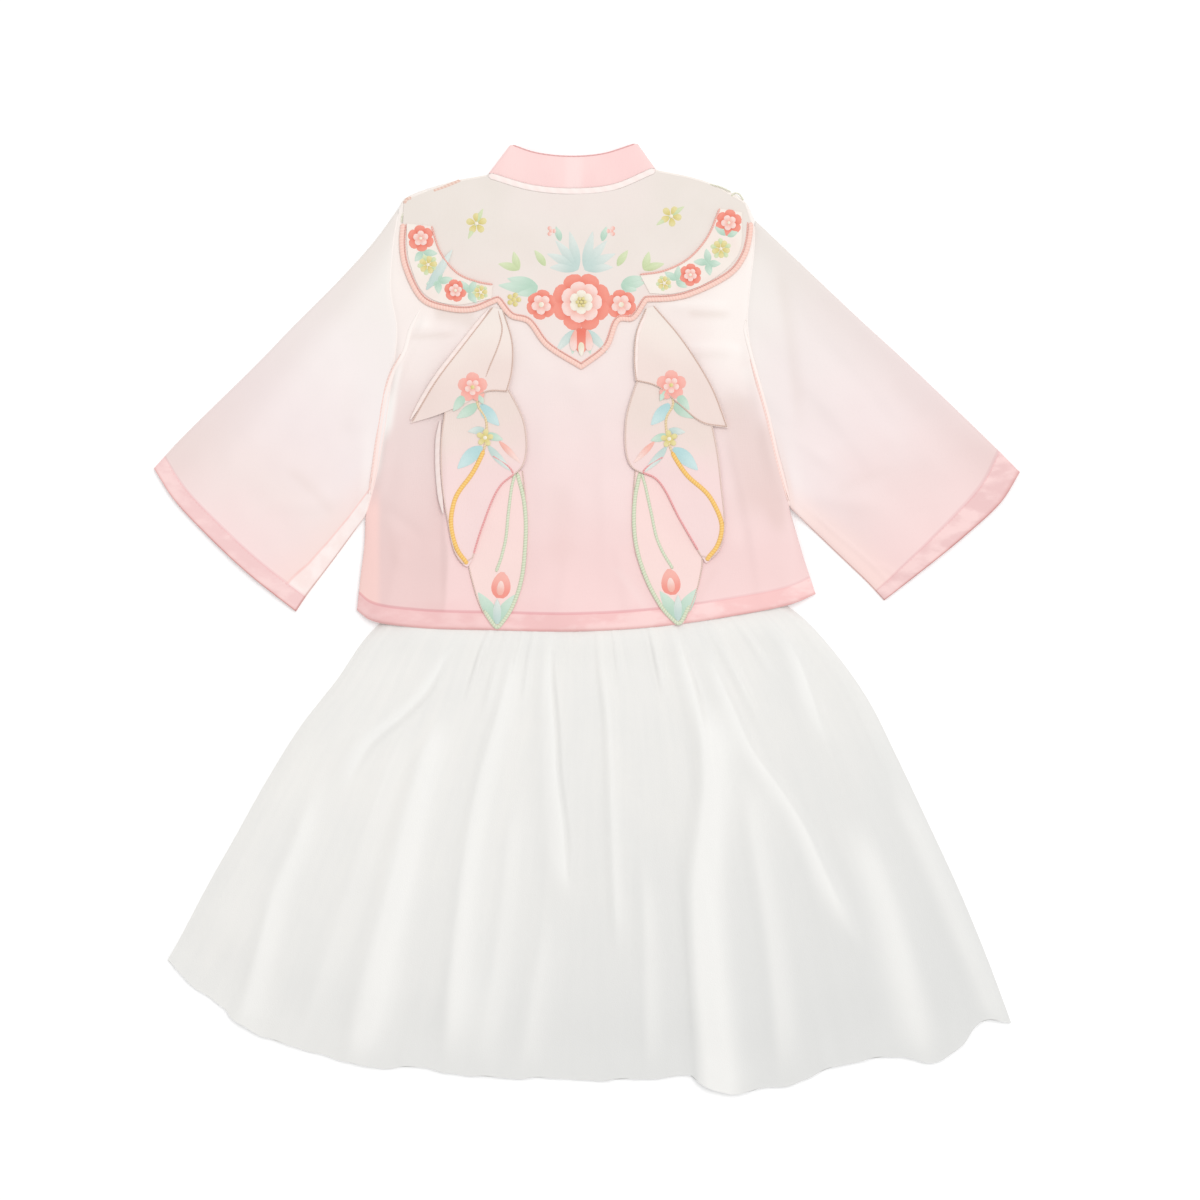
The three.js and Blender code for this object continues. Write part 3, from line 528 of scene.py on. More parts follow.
# How far down its back hangs, at shares of the way across, beside how far down its front does.
LINING_HANG = [
    (0, 1.06), (0.18, 1.07), (0.27, 1.01), (0.38, 1.03), (0.5, 0.95), (0.62, 0.99), (0.8, 1.04), (1, 1.07),
]
LINING_HEM = 12.0
BAND_HEIGHT = 25
BAND_TAPER = 3
BAND_WALL = 2.2
SEAM_ROOM = 0.4
BAND_GAP = 0.3
CRIMP = (0.25, 44)  # height and number of the elastic's small waves

lining_finish, start, feed = new_finish("cream_lining", 0.5, sheen=0.1)
cloth = start.places("UV")
doubled = start.mark("edge").until(LINING_HEM - 0.4, LINING_HEM + 0.4)
plain = cloth.noise(18.0).blend(dye(250, 246, 240), dye(252, 249, 245))
feed("Base Color", doubled.blend(plain, dye(252, 250, 247)))
feed("Normal", (cloth.noise(900.0, stretch=(1.0, 0.15, 1.0)) + doubled * 2).relief(0.0001))

lining_across = np.linspace(LINING_SIDE, 1 - LINING_SIDE, 151)
hang = np.interp(lining_across, *np.array(LINING_HANG).T)
hang = np.convolve(np.pad(hang, 7, "edge"), np.full(15, 1 / 15), "valid")
flat, u, v, weave = skirt_part(lining_across, np.linspace(0, LINING_END, 71), hang)
height = 2 * LAYER + LINING_RISE + fold_height(u, v, SKIRT_FOLDS, GATHER_SHARE) * LINING_FOLLOWS
lining_back, top = spread(
    "lining_back_layer", flat, height, LINING_WALL, lining_finish,
    weave=weave, edge=(LINING_END * hang - v) * CLOTH_LENGTH,
)
lay(lining_back, ["skirt_lining_back"])

lining_across, lining_down = np.linspace(LINING_SIDE, 1 - LINING_SIDE, 61), np.linspace(0, LINING_END, 31)
flat, u, v, weave = skirt_part(lining_across, lining_down)
lining_front, top = spread(
    "lining_front_layer", flat, LAYER + LINING_WALL, LINING_WALL, lining_finish,
    weave=weave, edge=(LINING_END - v) * CLOTH_LENGTH,
)
lay(lining_front, ["skirt_lining_front"])

band_across = np.linspace(0, 1, 161)
band_low = along(WAIST_SEAM, band_across) + [0, SEAM_ROOM]
band_high = band_low + np.column_stack([BAND_TAPER * (1 - 2 * band_across), 0 * band_across + BAND_HEIGHT])
band_rows = np.linspace(0, 1, 13)[:, None, None]
flat = band_high * (1 - band_rows) + band_low * band_rows
crimp = CRIMP[0] * np.sin(band_across * 2 * np.pi * CRIMP[1])[None]
crimp = crimp * np.sin(np.pi * band_rows[..., 0]) ** 0.5
for side, level, below in (
    ("front", BAND_WALL, "table"), ("back", 2 * BAND_WALL + BAND_GAP, "waistband_front_layer"),
):
    top = raised(flat, level - BAND_GAP + crimp)
    under = raised(flat, level - BAND_WALL)
    waistband = shell("waistband_" + side + "_layer", top, under, lining_finish, edge=99.0)
    lay(waistband, ["skirt_waistband_" + side])

# ---------------------------------------------------------------- jacket body
# The jacket is one back and two fronts of pale satin, dyed from ivory at the shoulders to pink at
# the hem. Hem and side seams are turned and stitched, and the doubled cloth looks deeper pink.
SATIN_WALL = 0.5
SHOULDER_LEFT = [(-151, 330), (-147, 337), (-112, 350), (-77, 357)]
NECK_BACK = [(-77, 357), (-46, 348), (-12, 345), (20, 348), (52, 361)]
SHOULDER_RIGHT = [(52, 361), (95, 351), (126, 335), (134, 320)]
ARMHOLE_LEFT = [
    (-151, 330), (-156, 299), (-158, 264), (-153, 232),
    (-158, 184), (-164, 143), (-171, 107), (-178, 82),
]
ARMHOLE_RIGHT = [
    (134, 320), (133, 295), (130, 267), (128, 236),
    (134, 200), (145, 159), (158, 111), (162, 88),
]
SIDE_LEFT = [(-178, 82), (-179, 59), (-182, 35), (-185, 7)]
SIDE_RIGHT = [(162, 88), (168, 67), (174, 47), (183, 20)]
JACKET_HEM = [
    (-185, 7), (-174, -1), (-136, -7), (-76, -9), (-7, -10),
    (58, -6), (120, 3), (164, 12), (183, 20),
]
ARMHOLE_SHARE = 2 / 3
JACKET_LENGTH = 362
HEM_TURN = 14.5
NECK_FRONT_DEPTH = 20
# What the satin's colour is multiplied by: for painted shade left of the back's folds, in a crease's
# valley and at a fold; beside the armhole; on a seam's ridge; for painted shade at a hem's inner
# line; and along outer edges.
SHADE_PAST_FOLD_TINT = (0.92, 0.915, 0.905)
CREASE_SHADE_TINT = (0.915, 0.895, 0.875)
FOLD_SHADE_TINT = (0.90, 0.875, 0.865)
ARM_TINT = (0.985, 0.935, 0.905)
RIDGE_TINT = (0.97, 0.78, 0.76)
HEM_EDGE_SHADE_TINT = (0.90, 0.72, 0.75)
RIM_TINT = (0.90, 0.76, 0.75)
# For painted shade along the cuff's outer edge, and for a darker line along a sleeve's lower seam.
CUFF_EDGE_SHADE_TINT = (0.72, 0.54, 0.52)
SEAM_TINT = (0.74, 0.58, 0.55)
# The painted sheen on the crinkles of a doubled hem.
CRINKLE_SHEEN_COLOUR = dye(253, 222, 219)
YOKE_LIFT, YOKE_FROM, YOKE_TO = 1.5, 148, 195
WAIST_LIFT, WAIST_FROM, WAIST_TO = 5.9, 44, 148
SIDE_SHARE, SIDE_FALL = 0.42, 20
BACK_RISE = 2.7  # of the back's upper side over the fronts' under side
FRONT_RISE = 0.6
SEAM_RISE = 1.3
HEM_RISE = 1.2
DOUBLED_RISE = 0.35  # of cloth that is turned up, over the single cloth beside it
ROUND_SIDE, ROUND_HEM = 5, 7
DIP, DIP_WIDTH = 0.4, 1.6  # of the armhole's seam
NECK_HEIGHT = 352  # where the body's dyes begin
# Broad soft folds: place, slant, top, width and height.
FOLD_START = 90  # over which a fold grows to its full height
BACK_FOLDS = [(-140, -0.10, 200, 16, 1.6), (-12, 0.02, 190, 24, 1.2), (132, 0.14, 240, 15, 1.8)]
BACK_RIPPLES = ((64, 3, 0.28), (23, 4, 0.10))  # length, seed and height of the slight waves
# Creases: start, end, bow aside, width, height, and how much steeper the left side is.
BACK_CREASES = [
    (-147, 240, -170, 84, 1.5, 5.0, 1.7, 1.4),
    (-124, 248, -158, 176, -3.0, 4.0, 1.3, 1.2),
    (-117, 176, -114, -6, 2.0, 11.0, 1.6, 5.0),
    (127, 236, 160, 86, -3.0, 5.0, 1.5, 0.8),
    (112, 160, 142, 0, 3.0, 15.0, 1.3, 3.0),
    (-34, 196, -40, -20, 2.0, 17.0, 0.9, 1.8),
    (14, 188, 22, -16, -3.0, 19.0, 0.9, 2.4),
    (22, 66, 36, -8, 1.0, 8.0, 0.8, 1.5),
    (-14, 58, -28, -12, 1.5, 7.0, 0.7, 1.2),
    (-150, 60, -162, 0, 1.0, 9.0, 0.9, 2.0),
    (-176, 94, -128, 58, 3.0, 6.0, -0.8, 1.0),
    (160, 98, 116, 60, -3.0, 6.0, -0.7, 1.0),
    (-12, 196, 6, 150, 1.0, 12.0, 0.6, 1.0),
    (-138, 232, -108, 233, 0.0, 4.0, 0.8, 0.6),
    (64, 251, 114, 249, 0.0, 4.0, 0.9, 0.7),
    (84, 218, 124, 217, 0.0, 4.5, 0.8, 0.6),
]
# Soft shade in the valleys of the creases, laid out like them; a value below 0 is a lit crest.
BACK_SHADES = [
    (-148, 226, -100, 228.5, 0.0, 3.4, 0.6, 1.0),
    (-150, 236, -88, 239, 0.0, 6.5, -0.35, 1.0),
    (76, 246, 120, 245, -1.0, 4.2, 0.7, 1.0),
    (50, 254, 124, 253, 0.0, 4.4, -0.35, 1.0),
    (74, 210, 122, 213, 1.0, 5.0, 0.5, 1.0),
    (74, 219, 134, 216, 0.0, 5.5, -0.35, 1.0),
    (-26, 120, -20, 30, 2.0, 15.0, 0.4, 1.0),
    (112, 196, 138, 66, 2.0, 16.0, 0.9, 1.0),
    (143, 168, 156, 56, 0.0, 9.0, 0.9, 1.0),
    (-150, 214, -162, 138, 0.0, 4.5, -0.5, 1.0),
    (-159, 190, -172, 100, 0.0, 4.5, -0.55, 1.0),
    (126, 206, 130, 176, 0.0, 7.0, -0.3, 1.0),
    (-128, 246, -84, 238, 0.0, 8.5, 1.0, 1.0),
    (30, 64, 64, 4, 4.0, 7.0, 0.35, 1.6),
    (16, 46, 52, -4, 3.0, 6.0, -0.16, 1.6),
    (108, 46, 86, -2, -5.0, 5.0, 0.35, 1.4),
    (-170, 96, -150, 30, 3.0, 6.0, 0.3, 1.0),
]


def ripple(x, y, length, seed):
    """Slight random waves about length across, from about -1 to 1."""
    waves = np.random.default_rng(seed)
    total = 0.0
    for _ in range(8):
        turn, phase = waves.uniform(0, 2 * np.pi), waves.uniform(0, 2 * np.pi)
        size = waves.uniform(0.7, 1.5)
        way = (x * np.cos(turn) + y * np.sin(turn)) / (length * size)
        total = total + np.sin(2 * np.pi * way + phase)
    return total / 3


def creases(x, y, rows):
    """Height of the creases at places in the plane."""
    total = 0.0 * x
    for x0, y0, x1, y1, bow, width, height, steep in rows:
        dx, dy = x1 - x0, y1 - y0
        share = np.clip(((x - x0) * dx + (y - y0) * dy) / (dx * dx + dy * dy), -0.5, 1.5)
        aside = ((y - y0) * dx - (x - x0) * dy) / np.hypot(dx, dy) - 4 * bow * share * (1 - share)
        wide = np.where(aside < 0, width / steep, width)
        ends = eased(share, 0, 0.22) * (1 - eased(share, 0.72, 1.0))
        total += height * np.exp(-((aside / wide) ** 2)) * ends
    return total


def under_jacket(x, y):
    """Height of the jacket's under side over the table, as it lies over the skirt's waist."""
    yoke = YOKE_LIFT * eased(y, YOKE_FROM, YOKE_TO)
    waist = WAIST_LIFT * (1 - eased(y, WAIST_FROM, WAIST_TO))
    inside = eased(x, SIDE_LEFT[-1][0], SIDE_LEFT[-1][0] + SIDE_FALL) * (
        1 - eased(x, SIDE_RIGHT[-1][0] - SIDE_FALL, SIDE_RIGHT[-1][0])
    )
    return yoke + waist * (SIDE_SHARE + (1 - SIDE_SHARE) * inside)


def on_back(x, y):
    """Height of the back's upper side."""
    height = under_jacket(x, y) + BACK_RISE + creases(x, y, BACK_CREASES)
    for place, slant, top, width, fold in BACK_FOLDS:
        aside = x - place - slant * (top - y)
        height = height + fold * np.exp(-((aside / width) ** 2)) * (1 - eased(y, top - FOLD_START, top))
    for length, seed, wave in BACK_RIPPLES:
        height = height + wave * ripple(x, y, length, seed)
    return height


def rolled(distance, radius):
    """0 at a rounded edge, 1 from radius inwards."""
    return np.sqrt(np.clip(1 - (1 - np.clip(distance / radius, 0, 1)) ** 2, 0, 1))


def to_last_row(top):
    """How far each point is from the last row, measured down its column."""
    run = so_far(top)
    return run[-1] - run


def satin(name, stops, band, band_width, seam_width=0.0, body=False):
    """Pale semi-sheer satin, dyed deeper on its way down and deeper still where it is doubled. A
    sleeve is marked with its seam and its distance from the arm, and the body isn't."""
    finish, start, feed = new_finish(name, 0.5, sheen=0.12, specular=0.35)
    cloth, down, edge = start.places("Object"), start.mark("down"), start.mark("edge")
    uneven = cloth.noise(22.0, detail=3.0)
    tone = down + uneven * 0.10 - 0.05
    colour = tone.node("ShaderNodeValToRGB", {"stops": stops}, {"Fac": tone})
    if body:
        sides = cloth.axis(0)
        # Painted shade on the lower left of the back, past the fold near that side.
        shade_past_fold = (sides + uneven * 0.01).until(-0.110, -0.1055)
        colour = (shade_past_fold * down.step(0.32, 0.56)).darken(colour, SHADE_PAST_FOLD_TINT)
        beside_arms = sides.until(-0.135, -0.105) * 0.55 + sides.step(0.075, 0.115)
        colour = (beside_arms * down.until(0.36, 0.54) * 0.75).blend(colour, dye(250, 242, 237))
        side_seam = sides.until(-0.1705, -0.1635) * down.step(0.66, 0.74)
        colour = side_seam.blend(colour, dye(249, 211, 205))
    # Painted shade in the creases' valleys, and a painted highlight on lit crests where the mark is below 0.
    crease_shade = start.mark("shade")
    colour = crease_shade.step(0.0, 1.0).darken(colour, CREASE_SHADE_TINT)
    colour = crease_shade.step(0.0, -1.0).blend(colour, dye(253, 250, 246))
    # Painted shade near a sleeve's top fold, fading out between about 18 and 62 mm from it.
    folded = start.mark("fold")
    shade_near_fold = folded.step(0.001, 1.0) * (folded + uneven * 20).until(18.0, 62.0)
    colour = (shade_near_fold * 0.7).darken(colour, FOLD_SHADE_TINT)
    if not body:
        from_arm = start.mark("arm")
        beside_arm = from_arm.until(6.0, 15.0) * down.step(0.33, 0.50)
        colour = beside_arm.darken(colour, ARM_TINT)
        pale_strip = from_arm.step(12.0, 20.0) * from_arm.until(22.0, 40.0) * down.step(0.33, 0.50)
        colour = (pale_strip * (0.4 if seam_width else 0.12)).blend(colour, dye(254, 247, 244))
        seam = start.mark("seam")
        warm = seam.until(4.0, 34.0) * down.step(0.40, 0.56)
        colour = (warm * 0.55).blend(colour, dye(250, 220, 212))
    if seam_width:
        turned = seam.until(seam_width - 0.8, seam_width)
        ridge = turned * seam.step(seam_width - 2.4, seam_width - 1.2)
        # Where the allowance is turned the satin is paler in patches: partly the allowance showing through, partly
        # a painted highlight.
        patchy = cloth.noise(70.0).step(0.35, 0.65, 0.35, 0.75)
        colour = (turned * patchy).blend(colour, dye(254, 245, 242))
        colour = ridge.darken(colour, RIDGE_TINT)
    turned_up = edge.until(band_width - 0.7, band_width + 0.3)
    # The crinkles carry a painted sheen that lightens the doubled hem where they rise; on the body it is stronger
    # towards the right.
    crinkle = cloth.noise(34.0, stretch=(1.0, 2.2, 1.0), detail=4.0).step(0.42, 0.62)
    if body:
        # Painted light on the body's hem band: darker at the left and lighter towards the right.
        deep_band_with_painted_light = sides.step(-0.18, 0.18).blend(band, dye(248, 200, 198))
        doubled = (crinkle * sides.step(-0.15, 0.12, 0.3, 0.7)).blend(deep_band_with_painted_light, CRINKLE_SHEEN_COLOUR)
    else:
        doubled = (crinkle * 0.6).blend(band, CRINKLE_SHEEN_COLOUR)
    colour = turned_up.blend(colour, doubled)
    # Painted shade along the inner edge of the turned hem; on the body it is stronger towards the left.
    hem_edge_shade = edge.step(band_width - 1.6, band_width - 0.4)
    hem_edge_shade = hem_edge_shade * edge.until(band_width + 0.6, band_width + 1.8)
    hem_edge_shade = hem_edge_shade * (sides.step(0.03, 0.14, 1.0, 0.35) if body else 0.45)
    colour = hem_edge_shade.darken(colour, HEM_EDGE_SHADE_TINT)
    rim = edge.until(0.8, 3.0) * 0.75
    colour = rim.darken(colour, RIM_TINT)
    if not body:
        # Painted shade along the cuff's outer edge, stronger lower down.
        outline = edge.until(0.3, 1.4) * down.step(0.74, 0.90, 0.3, 1.0)
        colour = outline.darken(colour, CUFF_EDGE_SHADE_TINT)
        outline = seam.until(0.3, 1.3) * down.step(0.50, 0.60)
        colour = outline.darken(colour, SEAM_TINT)
    feed("Base Color", colour)
    threads = start.places("UV")
    slubs = threads.noise(1400.0, stretch=(1.0, 0.12, 1.0))
    slubs = slubs + threads.noise(1400.0, stretch=(0.10, 1.0, 1.0))
    feed("Normal", (slubs * 0.5 + crinkle * turned_up * 2.0).relief(0.00012))
    feed("Roughness", uneven.step(0.2, 0.8, 0.44, 0.56))
    return finish


BODY_DYES = [
    (0.00, dye(245, 238, 231)), (0.28, dye(243, 231, 226)), (0.46, dye(242, 225, 222)),
    (0.62, dye(242, 219, 217)), (0.82, dye(242, 211, 209)), (0.93, dye(246, 213, 211)),
    (1.00, dye(244, 204, 203)),
]
body_satin = satin("body_satin", BODY_DYES, dye(239, 193, 192), HEM_TURN, body=True)

body_top = [(SHOULDER_LEFT, 5), (NECK_BACK, 10), (SHOULDER_RIGHT, 5)]
body_left = [(ARMHOLE_LEFT, 8), (SIDE_LEFT, 4)]
body_right = [(ARMHOLE_RIGHT, 8), (SIDE_RIGHT, 4)]
rim = np.array([0, 0.002, 0.006, 0.012])
body_across = np.concatenate([rim, np.linspace(0.018, 0.982, 170), 1 - rim[::-1]])
body_down = np.concatenate([[0, 0.004, 0.009], np.linspace(0.014, 0.95, 140), np.linspace(0.9535, 1, 16)])
flat = panel(body_top, JACKET_HEM, body_left, body_right, body_across, body_down)
x, y = flat[..., 0], flat[..., 1]
from_left, from_right = x - x[:, :1], x[:, -1:] - x
from_side = np.minimum(from_left, from_right)
from_shoulder = y[:1] - y
below_arm = eased(body_down, ARMHOLE_SHARE - 0.02, ARMHOLE_SHARE + 0.02)[:, None]
seamed = under_jacket(x, y) + SEAM_RISE
height = on_back(x, y)
height = height + (seamed - height) * (1 - rolled(from_side, ROUND_SIDE)) * below_arm
height = height - DIP * np.exp(-((from_side / DIP_WIDTH) ** 2)) * (1 - below_arm)
height = height + (seamed - height) * (1 - rolled(from_shoulder, ROUND_SIDE))
edge = to_last_row(raised(flat, height))
height = height + (under_jacket(x, y) + HEM_RISE - height) * (1 - rolled(edge, ROUND_HEM)) ** 1.5
height = height + DOUBLED_RISE * (1 - eased(edge, HEM_TURN - 0.4, HEM_TURN + 0.8)) * rolled(edge, 3)
jacket_back, back_top = spread(
    "jacket_back_panel", flat, height, SATIN_WALL, body_satin,
    down=(NECK_HEIGHT - y) / JACKET_LENGTH, edge=edge, shade=creases(x, y, BACK_SHADES),
)
lay(jacket_back, ["jacket_back"])


def round_neck(legs, across):
    """Share of the way round the neck, which is the middle one of three legs."""
    before, neck, after = (portion for _, portion in legs)
    return np.clip((across * (before + neck + after) - before) / neck, 0, 1)


def neck_drop(share):
    """How much lower the front neck is than the back one, at a share of the way round."""
    return NECK_FRONT_DEPTH * np.clip(1 - (2 * share - 1) ** 2, 0, None)


# The two fronts: from and to what share of the way round, and how far the middle edge is parted.
HALVES = (("left", 0.0, 0.5, -0.2), ("right", 0.5, 1.0, 0.2))
for side, start_at, end_at, parted in HALVES:
    across = np.linspace(start_at, end_at, 41)
    rows_down = np.concatenate([np.linspace(0, 0.083, 7), np.linspace(0.1, 1, 54)])
    flat = panel(body_top, JACKET_HEM, body_left, body_right, across, rows_down)
    flat[..., 1] -= neck_drop(round_neck(body_top, across)) * np.clip(1 - rows_down[:, None] * 12, 0, 1)
    flat[:, -1 if side == "left" else 0, 0] += parted
    x, y = flat[..., 0], flat[..., 1]
    height = under_jacket(x, y) + FRONT_RISE
    edge = to_last_row(raised(flat, height))
    piece, top = spread(
        "jacket_front_" + side + "_panel", flat, height, SATIN_WALL, body_satin,
        down=(NECK_HEIGHT - y) / JACKET_LENGTH, edge=edge,
    )
    lay(piece, ["jacket_front_" + side])

# ---------------------------------------------------------------- sleeves
# Each sleeve is one piece of the same satin, folded along its top edge and seamed below, wide at
# the cuff, where the edge is turned up once. The seam allowance shows through beside the seam.
SLEEVE_LEFT = {
    "upper": [(-151, 330), (-170, 304), (-200, 271), (-235, 236), (-265, 205), (-328, 143), (-348, 121)],
    "cuff": [(-348, 121), (-332, 96), (-305, 67), (-273, 37), (-234, 6)],
    "cuff_turn": (13.0, 14.0),
    "seam_turn": [(0, 31), (0.27, 22), (0.5, 18.6), (0.69, 17.5), (0.84, 20), (1, 21.5)],
    "lower": [(-178, 82), (-190, 66), (-204, 47), (-226, 18), (-234, 6)],
    "creases": [
        (-168, 292, -268, 168, 4.0, 13.0, 1.0, 1.8),
        (-184, 206, -262, 96, -5.0, 13.0, 1.0, 1.4),
        (-180, 100, -262, 92, 4.0, 8.0, 0.9, 1.2),
        (-172, 146, -222, 112, -2.0, 7.0, 0.9, 1.2),
        (-164, 196, -196, 150, 2.0, 6.0, 0.6, 1.0),
        (-240, 196, -310, 108, 3.0, 12.0, 0.7, 2.0),
    ],
    # Painted shade in soft bands, laid out like the creases.
    "shades": [
        (-246, 124, -198, 76, 3.0, 7.5, 0.45, 1.4),
        (-190, 196, -192, 138, 0.0, 9.0, 0.2, 1.0),
    ],
}
SLEEVE_RIGHT = {
    "upper": [(134, 320), (152, 303), (186, 271), (220, 239), (255, 207), (322, 143), (347, 118)],
    "cuff": [(347, 118), (332, 94), (302, 66), (265, 36), (238, 15)],
    "cuff_turn": (24.0, 10.0),
    "seam_turn": [(0, 13), (1, 13)],
    "lower": [(162, 89), (183, 69), (204, 49), (225, 29), (238, 15)],
    "creases": [
        (152, 288, 258, 160, -4.0, 13.0, 1.0, 1.6),
        (158, 206, 240, 104, 5.0, 13.0, 0.9, 1.8),
        (164, 104, 240, 92, -4.0, 8.0, 0.9, 1.2),
        (150, 152, 204, 116, 2.0, 7.0, 0.8, 1.2),
        (232, 190, 300, 104, -3.0, 12.0, 0.7, 1.4),
        (226, 44, 250, 32, 3.0, 2.5, 0.6, 1.0),
    ],
    # Painted shade in soft bands, laid out like the creases.
    "shades": [
        (151, 296, 172, 136, 2.0, 8.5, 0.48, 1.4),
        (240, 196, 276, 156, 0.0, 11.0, 0.25, 1.0),
        (194, 98, 256, 121, 4.0, 7.0, 0.28, 1.0),
    ],
}
SLEEVE_SETTLE = 0.3
SLEEVE_REACH = 190  # from armhole to cuff
SLEEVE_TOP, SLEEVE_DROP = 330, 324  # where its dyes begin, and how far down they go
DYE_ALONG = 0.35  # how much they follow the way to the cuff, beside the way down
SEAM_RIDGE, SEAM_RIDGE_WIDTH = 0.5, 1.4
SLEEVE_FOLDS = [(0.3, 0.1, 0.8, 0.13, 1.3), (0.72, 0.35, 1.0, 0.12, 1.6)]
SLEEVE_RIPPLES = ((58, 5, 0.25), (21, 6, 0.1))
SLEEVE_EDGE = 2.7
SLEEVE_ROUND = 4.0
SLEEVE_GAP = 0.02  # half of what is left between its two inner sides at the least
CUFF_TURN = 16.0
SEAM_TURN = 13.0
SLEEVE_DYES = [
    (0.10, dye(242, 236, 231)), (0.33, dye(244, 235, 233)), (0.52, dye(243, 230, 229)),
    (0.69, dye(243, 226, 223)), (0.86, dye(247, 222, 220)), (1.00, dye(248, 218, 216)),
]
# The right sleeve's colours, and its cuff's, are a darker copy of the left's: painted shade on that sleeve.
PAINTED_SHADE_SLEEVE_DYES = [
    (0.10, dye(239, 233, 228)), (0.33, dye(239, 228, 226)), (0.52, dye(241, 225, 224)),
    (0.69, dye(240, 217, 215)), (0.86, dye(244, 214, 212)), (1.00, dye(244, 212, 210)),
]
sleeve_satins = {
    "left": satin("sleeve_satin", SLEEVE_DYES, dye(243, 204, 203), CUFF_TURN, SEAM_TURN),
    "right": satin("painted_shade_sleeve_satin", PAINTED_SHADE_SLEEVE_DYES, dye(235, 196, 195), CUFF_TURN, 0.0),
}

sleeve_rim = np.array([0, 0.001, 0.004, 0.008, 0.014, 0.022])
sleeve_across = np.concatenate([sleeve_rim, np.linspace(0.034, 0.966, 76), 1 - sleeve_rim[::-1]])
sleeve_down = np.concatenate([np.linspace(0, 0.92, 84), np.linspace(0.927, 1, 14)])
sleeve_tops = {}
for side, edges, armhole, outward in (
    ("left", SLEEVE_LEFT, ARMHOLE_LEFT, -1), ("right", SLEEVE_RIGHT, ARMHOLE_RIGHT, 1)
):
    outline = armhole, edges["cuff"], edges["upper"], edges["lower"]
    flat = panel(*outline, sleeve_across, sleeve_down)
    u, v = np.meshgrid(sleeve_across, sleeve_down)
    flat[..., 0] += outward * SEAM_ROOM * (1 - v)
    x, y = flat[..., 0], flat[..., 1]
    seam_x, seam_y = x[:1], y[:1]
    drape = 0.0 * u
    for place, begin, end, width, fold in SLEEVE_FOLDS:
        begun = eased(v, begin, begin + 0.25) * (1 - eased(v, end - 0.2, end + 0.2))
        drape += fold * np.exp(-(((u - place) / width) ** 2)) * begun
    loose = SLEEVE_EDGE + (0.6 + drape + creases(x, y, edges["creases"])) * np.sin(np.pi * u) ** 0.7
    waves = sum(wave * ripple(x, y, length, seed) for length, seed, wave in SLEEVE_RIPPLES)
    loose += waves * np.sin(np.pi * u) ** 0.5
    settled = eased(v, 0, SLEEVE_SETTLE)
    upper = on_back(seam_x, seam_y) * (1 - settled) + loose * settled
    upper -= DIP * np.exp(-((v * SLEEVE_REACH / DIP_WIDTH) ** 2))
    lower = under_jacket(seam_x, seam_y) * (1 - eased(v, 0, SLEEVE_SETTLE)) + 0 * u
    to_fold = so_far(flat.swapaxes(0, 1)).T
    to_seam = to_fold[:, -1:] - to_fold
    round_edge = rolled(np.minimum(to_fold, to_seam), SLEEVE_ROUND)
    centre = np.maximum((upper + lower) * 0.42, lower + 0.8)
    upper = centre + (upper - centre) * round_edge
    lower = centre + (lower - centre) * round_edge
    edge = to_last_row(raised(flat, upper)) * CUFF_TURN / np.interp(u, (0, 1), edges["cuff_turn"])
    to_seam = to_seam * SEAM_TURN / np.interp(v, *np.array(edges["seam_turn"]).T)
    doubled = 1 - eased(edge, CUFF_TURN - 0.4, CUFF_TURN + 0.8)
    seam_ridge = np.exp(-(((to_seam - SEAM_TURN) / SEAM_RIDGE_WIDTH) ** 2)) * eased(v, 0.02, 0.1)
    seam_ridge *= SEAM_RIDGE
    upper = upper + (DOUBLED_RISE * doubled + seam_ridge) * round_edge
    upper_in = np.maximum(upper - SATIN_WALL, centre + SLEEVE_GAP)
    lower_in = np.minimum(lower + SATIN_WALL, centre - SLEEVE_GAP)
    shrunk = flat.copy()  # the inner side, drawn in at the fold and at the seam
    for inner_side, neighbour in ((0, 3), (-1, -4)):
        pull = unit(flat[:, neighbour] - flat[:, inner_side])
        for step in range(3):
            column = step if inner_side == 0 else -1 - step
            shrunk[:, column] += pull * SATIN_WALL * (1 - step / 3)

    def ring(above, below):
        """The sleeve's upper half and then its lower one, all the way round."""
        looped = np.concatenate([above, below[:, -2:0:-1]], axis=1)
        return looped if outward < 0 else looped[:, ::-1]

    outer = ring(raised(flat, upper), raised(flat, lower))
    inner = ring(raised(shrunk, upper_in), raised(shrunk, lower_in))
    weave = ring(np.dstack([to_fold, -edge]), np.dstack([to_fold, -edge]))
    marks = {
        "down": DYE_ALONG * v + (1 - DYE_ALONG) * (SLEEVE_TOP - y) / SLEEVE_DROP,
        "edge": edge, "seam": to_seam, "fold": to_fold, "arm": v * SLEEVE_REACH,
        "shade": creases(x, y, edges["shades"]),
    }
    marks = {mark: ring(values, values) for mark, values in marks.items()}
    sleeve = shell("sleeve_" + side + "_tube", outer, inner, sleeve_satins[side], weave, True, **marks)
    lay(sleeve, ["sleeve_" + side])
    sleeve_tops[side] = (raised(flat, upper), sleeve)

